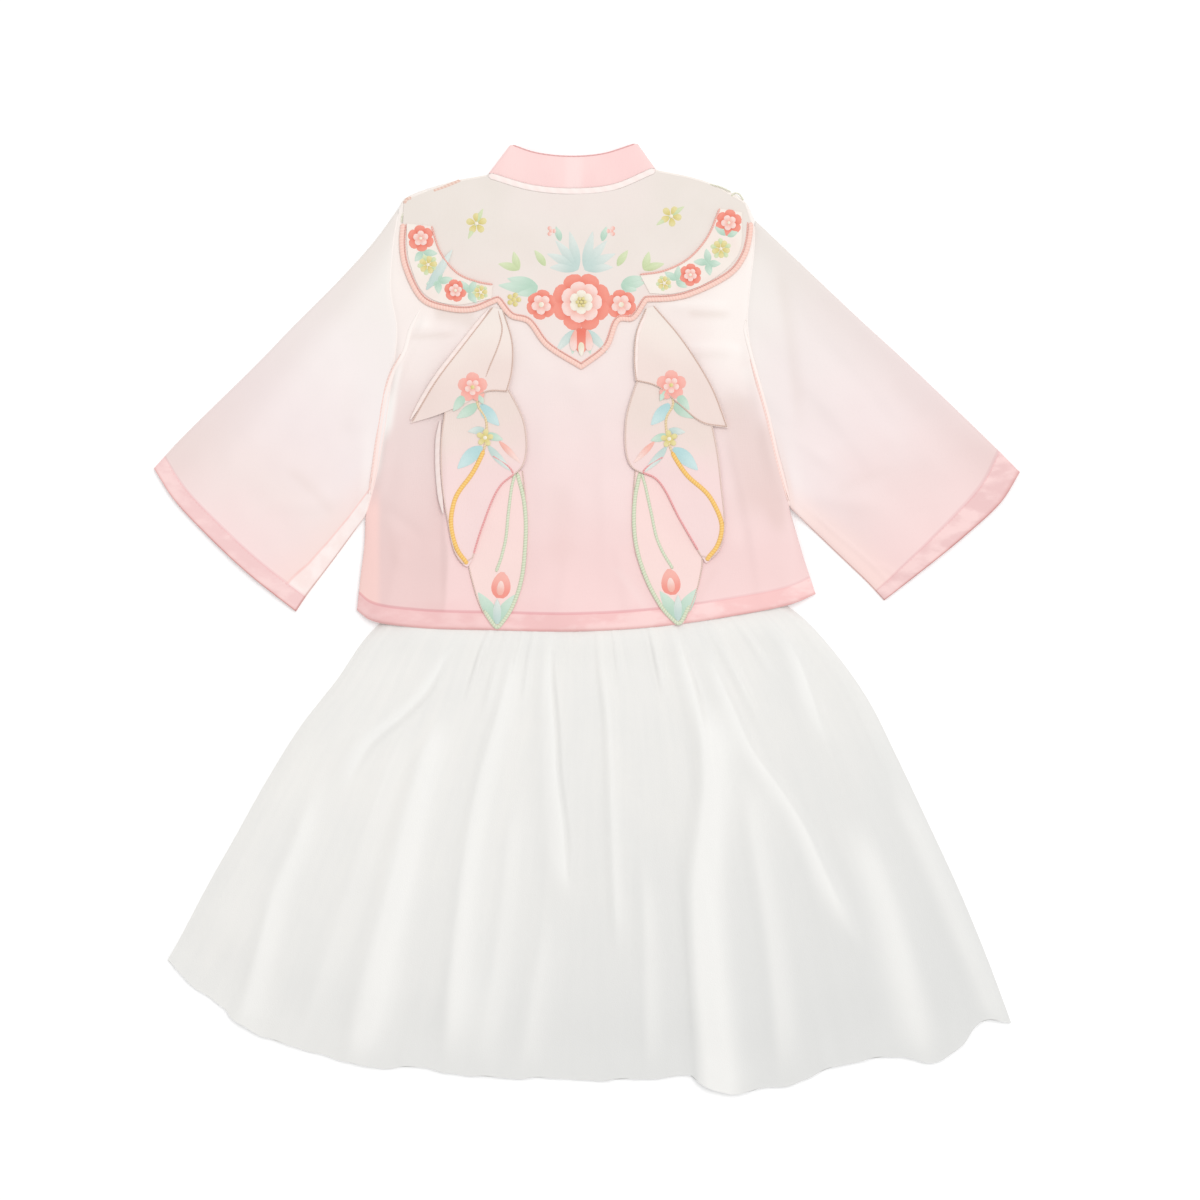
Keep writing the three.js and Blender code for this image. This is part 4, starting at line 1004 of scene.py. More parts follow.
# ---------------------------------------------------------------- stand collar
# A stiffened band of pink satin, sewn round the neck and left to fold flat at its two sides. Its
# free edge is a narrow rolled one in a darker rose, partly painted shade along that edge, and a pale
# roll of cloth covers the neck seam, its paleness partly a painted highlight.
COLLAR_TOP = [(-60, 380), (-42, 374), (-15, 371), (12, 373), (38, 381)]
COLLAR_HEIGHT = 24
COLLAR_RISE = 4.8
COLLAR_WALL = 1.2
COLLAR_BELLY = 0.5  # how much higher the band is halfway up
FRONT_POINTS, FOLD_POINTS, BACK_POINTS, COLLAR_ROWS = 31, 7, 61, 15
NECK_ROLL = (2.6, 0.28)
NECK_ROLL_DOWN, NECK_ROLL_LIFT = 2.0, 1.2
EDGE_ROLL = (0.6, 0.5)
EDGE_ROLL_DROP = 0.1
CORD_TIP = 0.1  # share of a cord's width that is left at its ends, squared

collar_satin, start, feed = new_finish("collar_satin", 0.5, sheen=0.12, specular=0.35)
cloth = start.places("Object")
uneven = cloth.noise(26.0, stretch=(1.0, 0.4, 1.0), detail=3.0)
colour = uneven.step(0.3, 0.7).blend(dye(248, 210, 208), dye(250, 217, 214))
# Painted highlight: a paler upright band on the collar, centred 11 mm left of the middle.
gleam = cloth.axis(0) + 0.011
gleam = (gleam * gleam).until(0.0, 0.00009) * 0.35
feed("Base Color", gleam.blend(colour, dye(250, 232, 229)))
threads = cloth.noise(1300.0, stretch=(1.0, 0.12, 1.0))
feed("Normal", (threads + uneven * 2.0).relief(0.00015))

collar_sides = np.linspace(0, 1, BACK_POINTS)
fold_turn = np.linspace(0, np.pi, FOLD_POINTS + 2)[1:-1]
level = COLLAR_RISE / 2


def collar_edges(shares, front):
    """Lower and upper edge of the band at shares of the way round the back of the neck."""
    low = along(NECK_BACK, shares) + [0, SEAM_ROOM]
    high = along(COLLAR_TOP, shares)
    if front:
        low[:, 1] -= neck_drop(shares)
        reach = (np.minimum(shares, 1 - shares) * 10 + 1) / 6
        high[:, 1] += (low[:, 1] + COLLAR_HEIGHT - high[:, 1]) * reach
    return low, high


def collar_wall(rise, bulge):
    """The band's points on the circle of this rise at its two folds, from front to front."""
    halves = collar_sides[FRONT_POINTS - 1::-1], collar_sides[:FRONT_POINTS - 2:-1]
    fronts = [collar_edges(half, True) for half in halves]
    back = collar_edges(collar_sides, False)
    bend = np.column_stack([bulge * np.sin(fold_turn), 0 * fold_turn])
    low, high = (
        np.vstack([fronts[0][k], back[k][0] - bend, back[k], back[k][-1] + bend, fronts[1][k]])[None]
        for k in (0, 1)
    )
    under, over = np.full(FRONT_POINTS, level - rise), np.full(BACK_POINTS, level + rise)
    around = rise * np.cos(fold_turn)
    heights = np.concatenate([under, level - around, over, level + around, under])[None]
    shares = np.linspace(1, 0, COLLAR_ROWS)[:, None, None]
    flat = low * (1 - shares) + high * shares
    flat[:, 0, 0] -= SEAM_ROOM
    flat[:, -1, 0] += SEAM_ROOM
    belly = np.sin(np.pi * shares[..., 0]) * COLLAR_BELLY * (heights > level)
    return raised(flat, heights + belly)


collar_outer = collar_wall(level, level)
collar_inner = collar_wall(level - COLLAR_WALL, level - COLLAR_WALL)
collar = shell("stand_collar", collar_outer, collar_inner, collar_satin)
lay(collar, ["collar"])


def sew_on(trim, onto):
    """The trim goes with the piece that it is sewn to."""
    trim.parent = onto


def cords(name, runs, finish, sides=8, taper=0.6):
    """Closed cords along runs of points, each with half its width and half its height. Their ends
    narrow over the length of the taper."""
    points, faces, flat = [], [], []
    turn = np.linspace(0, 2 * np.pi, sides, endpoint=False)
    used = 0
    for line, wide, high in runs:
        count = len(line)
        way = unit(np.gradient(line, axis=0))
        aside = unit(np.cross(way, [0, 0, 1.0]))
        up = np.cross(aside, way)
        run = so_far(line)
        thin = np.clip(np.minimum(run, run[-1] - run) / taper, CORD_TIP, 1)[:, None, None] ** 0.5
        round_line = np.cos(turn)[None, :, None] * wide * aside[:, None]
        round_line = round_line + np.sin(turn)[None, :, None] * high * up[:, None]
        points.append((line[:, None] + thin * round_line).reshape(-1, 3))
        points.append(line[[0, -1]])
        run = run * MM
        i, j = np.meshgrid(np.arange(count - 1), np.arange(sides), indexing="ij")
        i, j = i.ravel(), j.ravel()
        after = (j + 1) % sides
        here, ahead = i * sides + used, (i + 1) * sides + used
        faces.extend(np.stack([here + j, ahead + j, ahead + after, here + after], -1).tolist())
        places = [(j, i), (j, i + 1), (j + 1, i + 1), (j + 1, i)]
        flat.append(np.stack([np.column_stack([a / sides, run[b]]) for a, b in places], 1).reshape(-1, 2))
        first, last, end = used, used + (count - 1) * sides, used + count * sides
        for k in range(sides):
            faces.append([end, first + k, first + (k + 1) % sides])
            faces.append([end + 1, last + (k + 1) % sides, last + k])
            flat.append(np.zeros((6, 2)))
        used = end + 2
    return new_piece(name, np.concatenate(points), faces, finish, "weave", np.concatenate(flat))


def twisted(name, light, dark, pitch, depth=0.0001):
    """Twisted or couched thread: slanting strands, with painted shade that makes their valleys a little darker."""
    finish, start, feed = new_finish(name, 0.55, sheen=0.3)
    cord = start.places("UV")
    round_cord, length_wise = cord.axis(0), cord.axis(1)
    strand = start.math("SINE", (length_wise * (1 / pitch) + round_cord) * (2 * math.pi)) * 0.5 + 0.5
    feed("Base Color", strand.blend(dark, light))
    feed("Normal", strand.relief(depth))
    return finish


# The rose of the edge roll is partly painted shade along the collar's free edge.
rose_roll = twisted("rose_roll", dye(232, 178, 176), dye(224, 166, 164), 0.004, 0.0)
edge_line = collar_outer[0, FRONT_POINTS + FOLD_POINTS:][:BACK_POINTS].copy()
edge_line[:, 2] -= EDGE_ROLL_DROP
sew_on(cords("collar_edge_roll", [(edge_line, *EDGE_ROLL)], rose_roll), collar)

# The pale neck roll is partly a painted highlight along the neck seam.
pale_roll = twisted("pale_roll", dye(252, 238, 233), dye(250, 233, 228), 0.009, 0.00003)
neck_line = along(NECK_BACK, np.linspace(0.0, 1.0, 90)) - [0, NECK_ROLL_DOWN]
past_ends = 3 * neck_line[[0, -1]] - 2 * neck_line[[1, -2]]
neck_line = np.vstack([past_ends[0], neck_line, past_ends[1]])
neck_line = np.column_stack([neck_line, on_back(*neck_line.T) + NECK_ROLL_LIFT])
sew_on(cords("neck_seam_roll", [(neck_line, *NECK_ROLL)], pale_roll), collar)

# ---------------------------------------------------------------- cloud collar
# A separate ivory collar lies over the yoke, cut in lobes like a cloud: two round ones over the
# shoulders and a pointed one at the middle of the back. A coral binding runs round its edge.
LOBE_LEFT = [(-148, 317), (-149, 300), (-146, 282), (-132, 256), (-113, 249), (-93, 248), (-72, 256)]
LOBE_MIDDLE_LEFT = [(-72, 256), (-61, 243), (-48, 239), (-33, 220), (-5, 202)]
LOBE_MIDDLE_RIGHT = [(-5, 202), (15, 218), (25, 240), (36, 241), (47, 256)]
LOBE_RIGHT = [(47, 256), (68, 257), (84, 261), (116, 278), (126, 292), (130, 306), (131, 318)]
LOBES = [(LOBE_LEFT, 8), (LOBE_MIDDLE_LEFT, 5), (LOBE_MIDDLE_RIGHT, 5), (LOBE_RIGHT, 8)]
CLOUD_WALL = 0.6
CLOUD_LIFT = 1.2
BINDING = (2.0, 0.8)
BINDING_LIFT = 0.1
INNER_CORD = (0.5, 0.4)
INNER_ASIDE, INNER_LIFT = 2.6, 0.3

cloud_cloth, start, feed = new_finish("ivory_cloth", 0.6, sheen=0.15, specular=0.3)
cloth = start.places("Object")
uneven = cloth.noise(30.0, detail=3.0)
high = cloth.axis(1)
ivory = (high + uneven * 0.03).step(0.22, 0.34).blend(dye(241, 224, 219), dye(233, 224, 216))
aside = cloth.axis(0) + 0.004
# Painted highlight: a paler patch in the middle just below the neck.
gleam_below_neck = (aside * aside).until(0.0006, 0.0055) * high.step(0.295, 0.335)
ivory = gleam_below_neck.blend(ivory, dye(237, 225, 219))
feed("Base Color", (uneven.step(0.35, 0.7) * 0.3).blend(ivory, dye(240, 231, 225)))
feed("Normal", (cloth.noise(1200.0, stretch=(1.0, 0.15, 1.0)) + uneven * 2.0).relief(0.0001))


def on_cloud(x, y):
    """Height of the cloud collar's upper side."""
    return on_back(x, y) + CLOUD_LIFT


cloud_across, cloud_down = np.linspace(0, 1, 183), np.linspace(0, 1, 61)
cloud_top = [(SHOULDER_LEFT[1:], 8), (NECK_BACK, 10), (SHOULDER_RIGHT[:3], 8)]
top_ends = along(cloud_top, np.array([0.0, 1.0])) - [0, 2 * SEAM_ROOM]
low_ends = along(LOBES, np.array([0.0, 1.0]))
cloud_sides = [[tuple(high), tuple(low)] for high, low in zip(top_ends, low_ends)]
flat = panel(cloud_top, LOBES, *cloud_sides, cloud_across, cloud_down)
flat[..., 1] -= 2 * SEAM_ROOM * (1 - cloud_down[:, None])
height = on_cloud(flat[..., 0], flat[..., 1])
cloud_back, top = spread("cloud_collar_back_sheet", flat, height, CLOUD_WALL, cloud_cloth)
lay(cloud_back, ["cloud_collar_back"])

for side, start_at, end_at, parted in HALVES:
    across, down = np.linspace(start_at, end_at, 53), np.linspace(0, 1, 25)
    flat = panel(cloud_top, LOBES, *cloud_sides, across, down)
    flat[..., 1] -= neck_drop(round_neck(cloud_top, across)) * (1 - down[:, None])
    flat[..., 1] -= 2 * SEAM_ROOM * (1 - down[:, None])
    flat[:, -1 if side == "left" else 0, 0] += parted
    piece, top = spread("cloud_collar_front_" + side + "_sheet", flat, CLOUD_WALL, CLOUD_WALL, cloud_cloth)
    lay(piece, ["cloud_collar_front_" + side])


def beside(line, distance):
    """A line moved to its left side in the plane, or to its right if distance is below 0."""
    way = unit(np.gradient(line[:, :2], axis=0))
    moved = line.copy()
    moved[:, 0] -= way[:, 1] * distance
    moved[:, 1] += way[:, 0] * distance
    return moved


def laid_line(points, surface, lift):
    """Points in the plane, each this high above a surface."""
    return np.column_stack([points, surface(*points.T) + lift])


coral_binding = twisted("coral_binding", dye(248, 212, 199), dye(245, 200, 187), 0.0024, 0.00005)
coral_cord = twisted("coral_cord", dye(242, 190, 178), dye(232, 168, 156), 0.002)
lobe_line = along(LOBES, np.linspace(0, 1, 281))
bound = laid_line(lobe_line, on_cloud, BINDING_LIFT)
binding = cords("cloud_binding", [(bound, *BINDING)], coral_binding, 10)
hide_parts("cloud_collar_binding")
sew_on(binding, cloud_back)
inside = laid_line(beside(lobe_line, INNER_ASIDE), on_cloud, INNER_LIFT)
sew_on(cords("cloud_inner_cord", [(inside, *INNER_CORD)], coral_cord), cloud_back)

# ---------------------------------------------------------------- crescent borders
# A crescent of pink-white gauze is laid along the edge of each side lobe and held down by a coral
# cord on its inner side. It carries the border of blossoms.
CRESCENTS = {
    "left": {
        "inner": [(-125, 315), (-118, 294), (-104, 277), (-87, 270), (-76, 268)],
        "outer": [(-145, 317), (-143, 288), (-130, 260), (-107, 252), (-77, 257)],
    },
    "right": {
        "inner": [(42, 276), (61, 279), (81, 289), (96, 306), (106, 329)],
        "outer": [(50, 261), (70, 261), (98, 271), (121, 293), (124, 326)],
    },
}
CRESCENT_WALL = 0.5
CRESCENT_LIFT = 0.8
CRESCENT_CORD = (0.75, 0.6)
CRESCENT_CORD_LIFT = 1.1

crescent_gauze, start, feed = new_finish("crescent_gauze", 0.6, sheen=0.2, specular=0.3)
cloth = start.places("Object")
feed("Base Color", cloth.noise(45.0).step(0.3, 0.7).blend(dye(242, 226, 218), dye(244, 235, 226)))
feed("Normal", cloth.noise(1500.0).relief(0.0001))
crescent_lines, crescent_tops, crescent_pieces = {}, {}, {}
for side, edges in CRESCENTS.items():
    shares = np.linspace(0, 1, 61)
    inner_edge, outer_edge = along(edges["inner"], shares), along(edges["outer"], shares)
    down = np.linspace(0, 1, 9)[:, None, None]
    flat = inner_edge * (1 - down) + outer_edge * down
    height = on_cloud(flat[..., 0], flat[..., 1]) + CRESCENT_LIFT
    piece, top = spread("crescent_" + side + "_sheet", flat, height, CRESCENT_WALL, crescent_gauze)
    lay(piece, ["crescent_" + side])
    crescent_lines[side] = (inner_edge + outer_edge) / 2
    crescent_tops[side], crescent_pieces[side] = top, piece
    run = (laid_line(inner_edge, on_cloud, CRESCENT_CORD_LIFT), *CRESCENT_CORD)
    sew_on(cords("crescent_" + side + "_cord", [run], coral_cord), piece)

# ---------------------------------------------------------------- wing streamers
# Two streamers hang from under the cloud collar, each of three petals that overlap like a
# butterfly's wing: ivory gauze, pink satin and a narrow tail, all with a fine corded edge.
# Left, right and lower edge of each petal, from the lowest layer to the top one.
WINGS = {
    "left": {
        "tail": (
            [(-84, 112), (-89, 80), (-96, 50), (-92, 28), (-85, 8), (-76, -6)],
            [(-52, 119), (-49, 92), (-48, 66), (-51, 34), (-59, 9), (-69, -6)],
            [(-76, -6), (-72, -8), (-69, -6)],
        ),
        "middle": (
            [(-114, 172), (-118, 140), (-117, 108), (-112, 78), (-106, 53), (-99, 43)],
            [(-66, 190), (-50, 156), (-51, 124), (-70, 106), (-84, 74), (-93, 46)],
            [(-99, 43), (-96, 42), (-93, 46)],
        ),
        "upper": (
            [(-76, 250), (-98, 222), (-123, 189), (-142, 157)],
            [(-68, 248), (-60, 222), (-60, 199), (-64, 182)],
            [(-142, 157), (-122, 163), (-100, 172), (-80, 182), (-64, 182)],
        ),
    },
    "right": {
        "tail": (
            [(38, 119), (36, 92), (37, 60), (44, 36), (58, 9), (69, -3)],
            [(66, 113), (78, 81), (92, 52), (90, 31), (84, 13), (77, -3)],
            [(69, -3), (73, -5), (77, -3)],
        ),
        "middle": (
            [(41, 197), (30, 158), (34, 123), (55, 112), (74, 79), (92, 49)],
            [(98, 166), (105, 132), (108, 104), (110, 73), (106, 56), (98, 47)],
            [(92, 49), (95, 45), (98, 47)],
        ),
        "upper": (
            [(47, 249), (39, 230), (37, 208), (38, 191)],
            [(53, 251), (76, 224), (100, 186), (113, 153)],
            [(38, 191), (56, 186), (72, 173), (92, 157), (113, 153)],
        ),
    },
}
PETAL_WALL = 0.45
PETAL_LIFT = 1.1
LAYER_SHARE = 0.9  # of that lift, from one petal to the next
PETAL_RIPPLE = 0.22
TIP_DROP = 1.5  # of the left upper petal's tip, which lies past the petal below it
TIP_FROM_TO = (119, 136)
EDGE_CORD = (0.5, 0.4)
EDGE_STEP, EDGE_LIFT = 0.25, 0.15
ROLL_SIDES, ROLL_TAPER = 12, 14.0
EDGE_INSET, EDGE_END = 0.012, 0.99  # where a petal's edge cord runs, as shares across and down


def petal_finish(name, first, second, along_petal):
    """Thin cloth that turns from one colour to another down the petal."""
    finish, start, feed = new_finish(name, 0.5, sheen=0.2, specular=0.35)
    cloth = start.places("Object")
    down = start.mark("down")
    uneven = cloth.noise(38.0, detail=3.0)
    feed("Base Color", (down + uneven * 0.3 - 0.15).step(*along_petal).blend(first, second))
    feed("Normal", (cloth.noise(1300.0, stretch=(1.0, 0.2, 1.0)) + uneven * 3.0).relief(0.00015))
    return finish


petal_finishes = {
    "upper": petal_finish("ivory_gauze", dye(241, 229, 221), dye(238, 219, 212), (0.1, 0.8)),
    "middle": petal_finish("pink_petal_satin", dye(236, 218, 210), dye(242, 215, 213), (0.15, 0.5)),
    "tail": petal_finish("tail_gauze", dye(246, 216, 212), dye(247, 219, 214), (0.1, 0.8)),
}
petal_slots = {"upper": "petal_gauze", "middle": "petal_satin", "tail": "petal_gauze"}
edge_threads = {
    "upper": twisted("upper_edge_thread", dye(226, 198, 184), dye(204, 172, 158), 0.0018),
    "middle": twisted("middle_edge_thread", dye(236, 212, 201), dye(218, 190, 178), 0.0018),
    "tail": twisted("tail_edge_thread", dye(232, 207, 194), dye(212, 183, 170), 0.0018),
}
gauze_rolls = {
    "upper": twisted("ivory_roll", dye(247, 231, 225), dye(245, 226, 220), 0.008, 0.00004),
    "middle": twisted("pink_roll", dye(240, 223, 219), dye(238, 219, 214), 0.008, 0.00004),
}
# The left edges of three petals roll over: how far aside, from and to what share of the edge, and
# half the width and height of the roll.
EDGE_ROLLS = {
    ("left", "upper"): (-1.5, 0.02, 0.98, (1.7, 0.6)),
    ("left", "middle"): (-2.2, 0.10, 0.66, (2.0, 0.35)),
    ("right", "upper"): (1.8, 0.04, 0.97, (1.6, 0.4)),
}
# The left upper petal's lower edge is left plain between two of its steps.
EDGE_BREAKS = {("left", "upper"): [90, 152]}
petal_tops, petal_pieces = {}, {}
for side, petals in WINGS.items():
    for layer, (name, (left, right, lower)) in enumerate(petals.items()):
        across, down = np.linspace(0, 1, 37), np.linspace(0, 1, 71)
        flat = panel([left[0], right[0]], lower, left, right, across, down)
        x, y = flat[..., 0], flat[..., 1]
        settled = eased(down, 0.1, 0.6)[:, None] if name == "upper" else 1.0
        height = on_back(x, y) + PETAL_LIFT * (1 + LAYER_SHARE * layer * settled)
        height = height + PETAL_RIPPLE * ripple(x, y, 34, 11 + layer) * np.sin(np.pi * down)[:, None]
        if name == "upper":
            height = height - TIP_DROP * eased(-x, *TIP_FROM_TO)
        wing, slot = "wing_" + side + "_", petal_slots[name]
        piece, top = spread(
            wing + name + "_petal", flat, height, PETAL_WALL, petal_finishes[name], down=down[:, None]
        )
        below = ("jacket_back_panel", wing + "tail_petal", wing + "middle_petal")[layer]
        lay(piece, [wing + name])
        petal_tops[side, name], petal_pieces[side, name] = top, piece
        trim = np.linspace(0, 1, 90)
        round_edge = np.concatenate([
            on_grid(top, EDGE_INSET + 0 * trim, trim * EDGE_END),
            on_grid(top, trim[1:] * (1 - 2 * EDGE_INSET) + EDGE_INSET, EDGE_END + 0 * trim[1:]),
            on_grid(top, 1 - EDGE_INSET + 0 * trim[1:], (1 - trim[1:]) * EDGE_END),
        ])
        edge_runs = []
        for part in np.split(round_edge, EDGE_BREAKS.get((side, name), [])):
            steps = np.concatenate([[True], np.linalg.norm(np.diff(part, axis=0), axis=1) > EDGE_STEP])
            edge_runs.append((part[steps] + [0, 0, EDGE_LIFT], *EDGE_CORD))
        edge_runs = edge_runs[:1] + edge_runs[2:]
        sew_on(cords(wing + name + "_edge", edge_runs, edge_threads[name], 6), piece)
        if (side, name) in EDGE_ROLLS:
            aside, from_share, to_share, thick = EDGE_ROLLS[side, name]
            rolled_edge = on_grid(top, np.zeros(60), np.linspace(from_share, to_share, 60))
            rolled_edge = beside(rolled_edge, aside)
            run = (rolled_edge, *thick)
            roll = cords(wing + name + "_roll", [run], gauze_rolls[name], ROLL_SIDES, ROLL_TAPER)
            sew_on(roll, piece)


# ---------------------------------------------------------------- corded veins of the wings
# Couched cords draw the veins: a golden one and a thin pink one on each middle petal, and green
# ones round each tail and down its middle. Places are shares across and down a petal, outer side 0.
VEIN_LIFT = 0.2
# Petal, half the width and height, the thread's light and dark dye, and the veins.
VEIN_CORDS = {
    "gold": ("middle", (1.8, 0.9), dye(250, 208, 122), dye(240, 186, 92), [
        [(0.50, 0.32), (0.34, 0.47), (0.17, 0.61), (0.06, 0.76), (0.12, 0.88), (0.40, 0.985)],
    ]),
    "pink": ("middle", (0.7, 0.6), dye(240, 176, 174), dye(228, 152, 154), [
        [(0.985, 0.50), (0.985, 0.62), (0.985, 0.8), (0.985, 0.96)],
        [(0.60, 0.36), (0.80, 0.43), (0.95, 0.49)],
    ]),
    "stem": ("middle", (1.0, 0.6), dye(238, 216, 176), dye(222, 196, 152), [
        [(0.58, -0.02), (0.50, 0.06), (0.56, 0.15), (0.54, 0.24), (0.50, 0.32)],
    ]),
    "green": ("tail", (1.6, 0.8), dye(222, 228, 202), dye(200, 211, 180), [
        [(0.86, 0.0), (0.955, 0.18), (0.965, 0.5), (0.95, 0.8), (0.88, 0.93), (0.5, 0.985),
         (0.16, 0.95), (0.07, 0.87)],
    ]),
    "midrib": ("tail", (1.2, 0.7), dye(220, 227, 202), dye(202, 213, 184), [
        [(0.80, 0.01), (0.70, 0.1), (0.626, 0.26), (0.613, 0.42), (0.57, 0.52), (0.48, 0.61)],
    ]),
}

for colour, (petal, thick, light, dark, veins) in VEIN_CORDS.items():
    vein_thread = twisted(colour + "_vein_thread", light, dark, 0.0022, 0.00004)
    for side in WINGS:
        runs = []
        for vein in veins:
            path = along(vein, np.linspace(0, 1, 60))
            across = path[:, 0] if side == "left" else 1 - path[:, 0]
            line = on_grid(petal_tops[side, petal], across, path[:, 1]) + [0, 0, VEIN_LIFT]
            runs.append((line, *thick))
        name = "wing_" + side + "_" + colour + "_vein"
        sew_on(cords(name, runs, vein_thread), petal_pieces[side, petal])

# ---------------------------------------------------------------- embroidery
# Silk satin stitch over padding: an open peony with roses, leaves and a bud on the middle lobe, a
# star on each side lobe, blossoms, stars and leaves on each crescent, and a sprig down each wing.
PAD_HEIGHT = 0.55
FULL_WIDTH = 5  # a narrower pad is lower too
PAD_SINK = 0.25  # of its under side, into the cloth
SILK_PITCH = 0.00045  # metres from stitch to stitch
ON_SHEET = 3.0  # a place this near to a point of a sheet takes its height
PAD_SHARP = 70  # degrees between two faces from which a pad's edge is a sharp one
PAD_SHAPES = {  # where a pad is widest, and how blunt its ends are
    "petal": (1.45, 0.5),
    "leaf": (0.85, 0.9),
    "bud": (0.8, 0.6),
    "knot": (1.0, 0.5),
}
MIDDLE = -5.0  # upright line of the middle lobe
PEONY = (MIDDLE, 254.0)
ROSE = (-37, 252)


def silk(name, foot, tip):
    """Flat silk floss, dyed from the foot of each pad to its tip; the stitches lie across it."""
    finish, start, feed = new_finish(name, 0.42, sheen=0.25, specular=0.5)
    stitch = start.math("SINE", start.places("UV").axis(1) * (2 * math.pi / SILK_PITCH)) * 0.5 + 0.5
    shade = start.mark("thread")
    # Painted shade: each stitch's valley takes a little more of the foot's darker colour.
    feed("Base Color", (shade + stitch * 0.12 - 0.06).step(0.15, 0.85).blend(foot, tip))
    feed("Normal", stitch.relief(0.00006))
    return finish


SILK_DYES = {  # at the foot and the tip of a pad
    "coral": (dye(238, 120, 100), dye(245, 150, 132)),
    "salmon": (dye(246, 150, 136), dye(249, 182, 170)),
    "blush": (dye(247, 184, 170), dye(250, 220, 212)),
    "cream": (dye(238, 228, 202), dye(248, 240, 226)),
    "mint": (dye(184, 214, 194), dye(208, 228, 212)),
    "blue": (dye(180, 216, 217), dye(204, 228, 227)),
    "pale": (dye(196, 216, 210), dye(222, 230, 224)),
    "lime": (dye(204, 218, 170), dye(218, 228, 188)),
    "yellow": (dye(222, 206, 128), dye(232, 220, 160)),
}
SILKS = {colour: silk(colour + "_silk", *dyes) for colour, dyes in SILK_DYES.items()}


def above(top):
    """Height function that rests on a laid sheet, near each place."""
    points = top.reshape(-1, 3)

    def height(x, y):
        gap = (points[:, 0] - x[..., None]) ** 2 + (points[:, 1] - y[..., None]) ** 2
        order = np.argpartition(gap, 4, axis=-1)[..., :4]
        near = np.take_along_axis(gap, order, -1)
        weight = 1 / (near + 0.05)
        level = (points[order, 2] * weight).sum(-1) / weight.sum(-1)
        level = np.where(near.min(-1) < ON_SHEET ** 2, level, -1.0)
        return np.where(level > 0, level, level.max())

    return height


def pads(name, shapes, finish, surface):
    """Stitched pads on a surface: kind, foot x and y, turn, length, width, bow and lift of each."""
    rows, columns = 9, 5
    t, s = np.linspace(0, 1, rows)[:, None], np.linspace(-1, 1, columns)[None]
    dome = (1 - s ** 2) ** 0.8 * (1 - (2 * t - 1) ** 4)
    upper = np.arange(rows * columns).reshape(rows, columns)
    lower = upper.copy()
    inside = (rows - 2, columns - 2)
    lower[1:-1, 1:-1] = rows * columns + np.arange(math.prod(inside)).reshape(inside)
    count = rows * columns + math.prod(inside)
    i, j = (a.ravel() for a in np.mgrid[:rows - 1, :columns - 1])
    face = np.concatenate([
        np.stack([upper[i, j], upper[i + 1, j], upper[i + 1, j + 1], upper[i, j + 1]], -1),
        np.stack([lower[i, j + 1], lower[i + 1, j + 1], lower[i + 1, j], lower[i, j]], -1),
    ])
    points, faces, flat = [], [], []
    for k, (kind, x, y, turn, length, width, bow, lift) in enumerate(shapes):
        widest, blunt = PAD_SHAPES[kind]
        half = width / 2 * np.maximum(np.sin(np.pi * (0.03 + 0.94 * t) ** widest) ** blunt, 0.06)
        ahead, aside = t * length + 0 * s, s * half + bow * length * t ** 2
        way = math.radians(turn)
        px = x + ahead * math.cos(way) - aside * math.sin(way)
        py = y + ahead * math.sin(way) + aside * math.cos(way)
        base = surface(px, py) + lift
        top = np.stack([px, py, base + dome * PAD_HEIGHT * min(1.0, width / FULL_WIDTH)], -1)
        under = np.stack([px, py, base - PAD_SINK], -1)[1:-1, 1:-1]
        points.append(np.concatenate([top.reshape(-1, 3), under.reshape(-1, 3)]))
        faces.append(face + k * count)
        place = np.zeros((count, 2))
        place[:rows * columns] = np.stack([0 * ahead + s, ahead * MM], -1).reshape(-1, 2)
        place[lower[1:-1, 1:-1].ravel()] = place[upper[1:-1, 1:-1].ravel()]
        flat.append(place[face].reshape(-1, 2))
    faces, flat = np.concatenate(faces).tolist(), np.concatenate(flat)
    piece = new_piece(name, np.concatenate(points), faces, finish, "stitch", flat, PAD_SHARP)
    thread = np.zeros(count)
    thread[:rows * columns] = (t + 0 * s).ravel()
    thread[lower[1:-1, 1:-1].ravel()] = thread[upper[1:-1, 1:-1].ravel()]
    kept = piece.data.attributes.new("thread", "FLOAT", "POINT")
    kept.data.foreach_set("value", np.tile(thread, len(shapes)))
    return piece


def embroider(name, work, surface, onto):
    """One joined mesh of pads for each dye of the work, sewn to the sheet below."""
    for colour, shapes in work.items():
        sew_on(pads(name + "_" + colour, shapes, SILKS[colour], surface), onto)


def bloom(x, y, radius, count, turn, inner=0.0, wide=1.0, lift=0.0):
    """A ring of petals round a point."""
    width = 2 * math.pi * (inner + (radius - inner) * 0.6) / count * 1.12 * wide
    ring = []
    for k in range(count):
        way = turn + 360 / count * k
        foot = (x + inner * math.cos(math.radians(way)), y + inner * math.sin(math.radians(way)))
        ring.append(("petal", *foot, way, radius - inner, width, 0.0, lift))
    return ring


def knots(x, y, radius, size, count, lift):
    """French knots: one in the middle and the others round it."""
    ring = [(x, y)]
    for k in range(count):
        way = 2 * math.pi * k / count
        ring.append((x + radius * math.cos(way), y + radius * math.sin(way)))
    return [("knot", a - size / 2, b, 0.0, size, size, 0.0, lift) for a, b in ring]


def sprays(x, y, leaves, width):
    """Leaves from one foot, each by its turn, length and bow."""
    return [("leaf", x, y, turn, length, width, bow, 0.0) for turn, length, bow in leaves]


def both_sides(shapes):
    """The shapes, and their mirror images over the middle lobe's upright line."""
    return shapes + [
        (kind, 2 * MIDDLE - x, y, 180 - turn, length, width, -bow, lift)
        for kind, x, y, turn, length, width, bow, lift in shapes
    ]


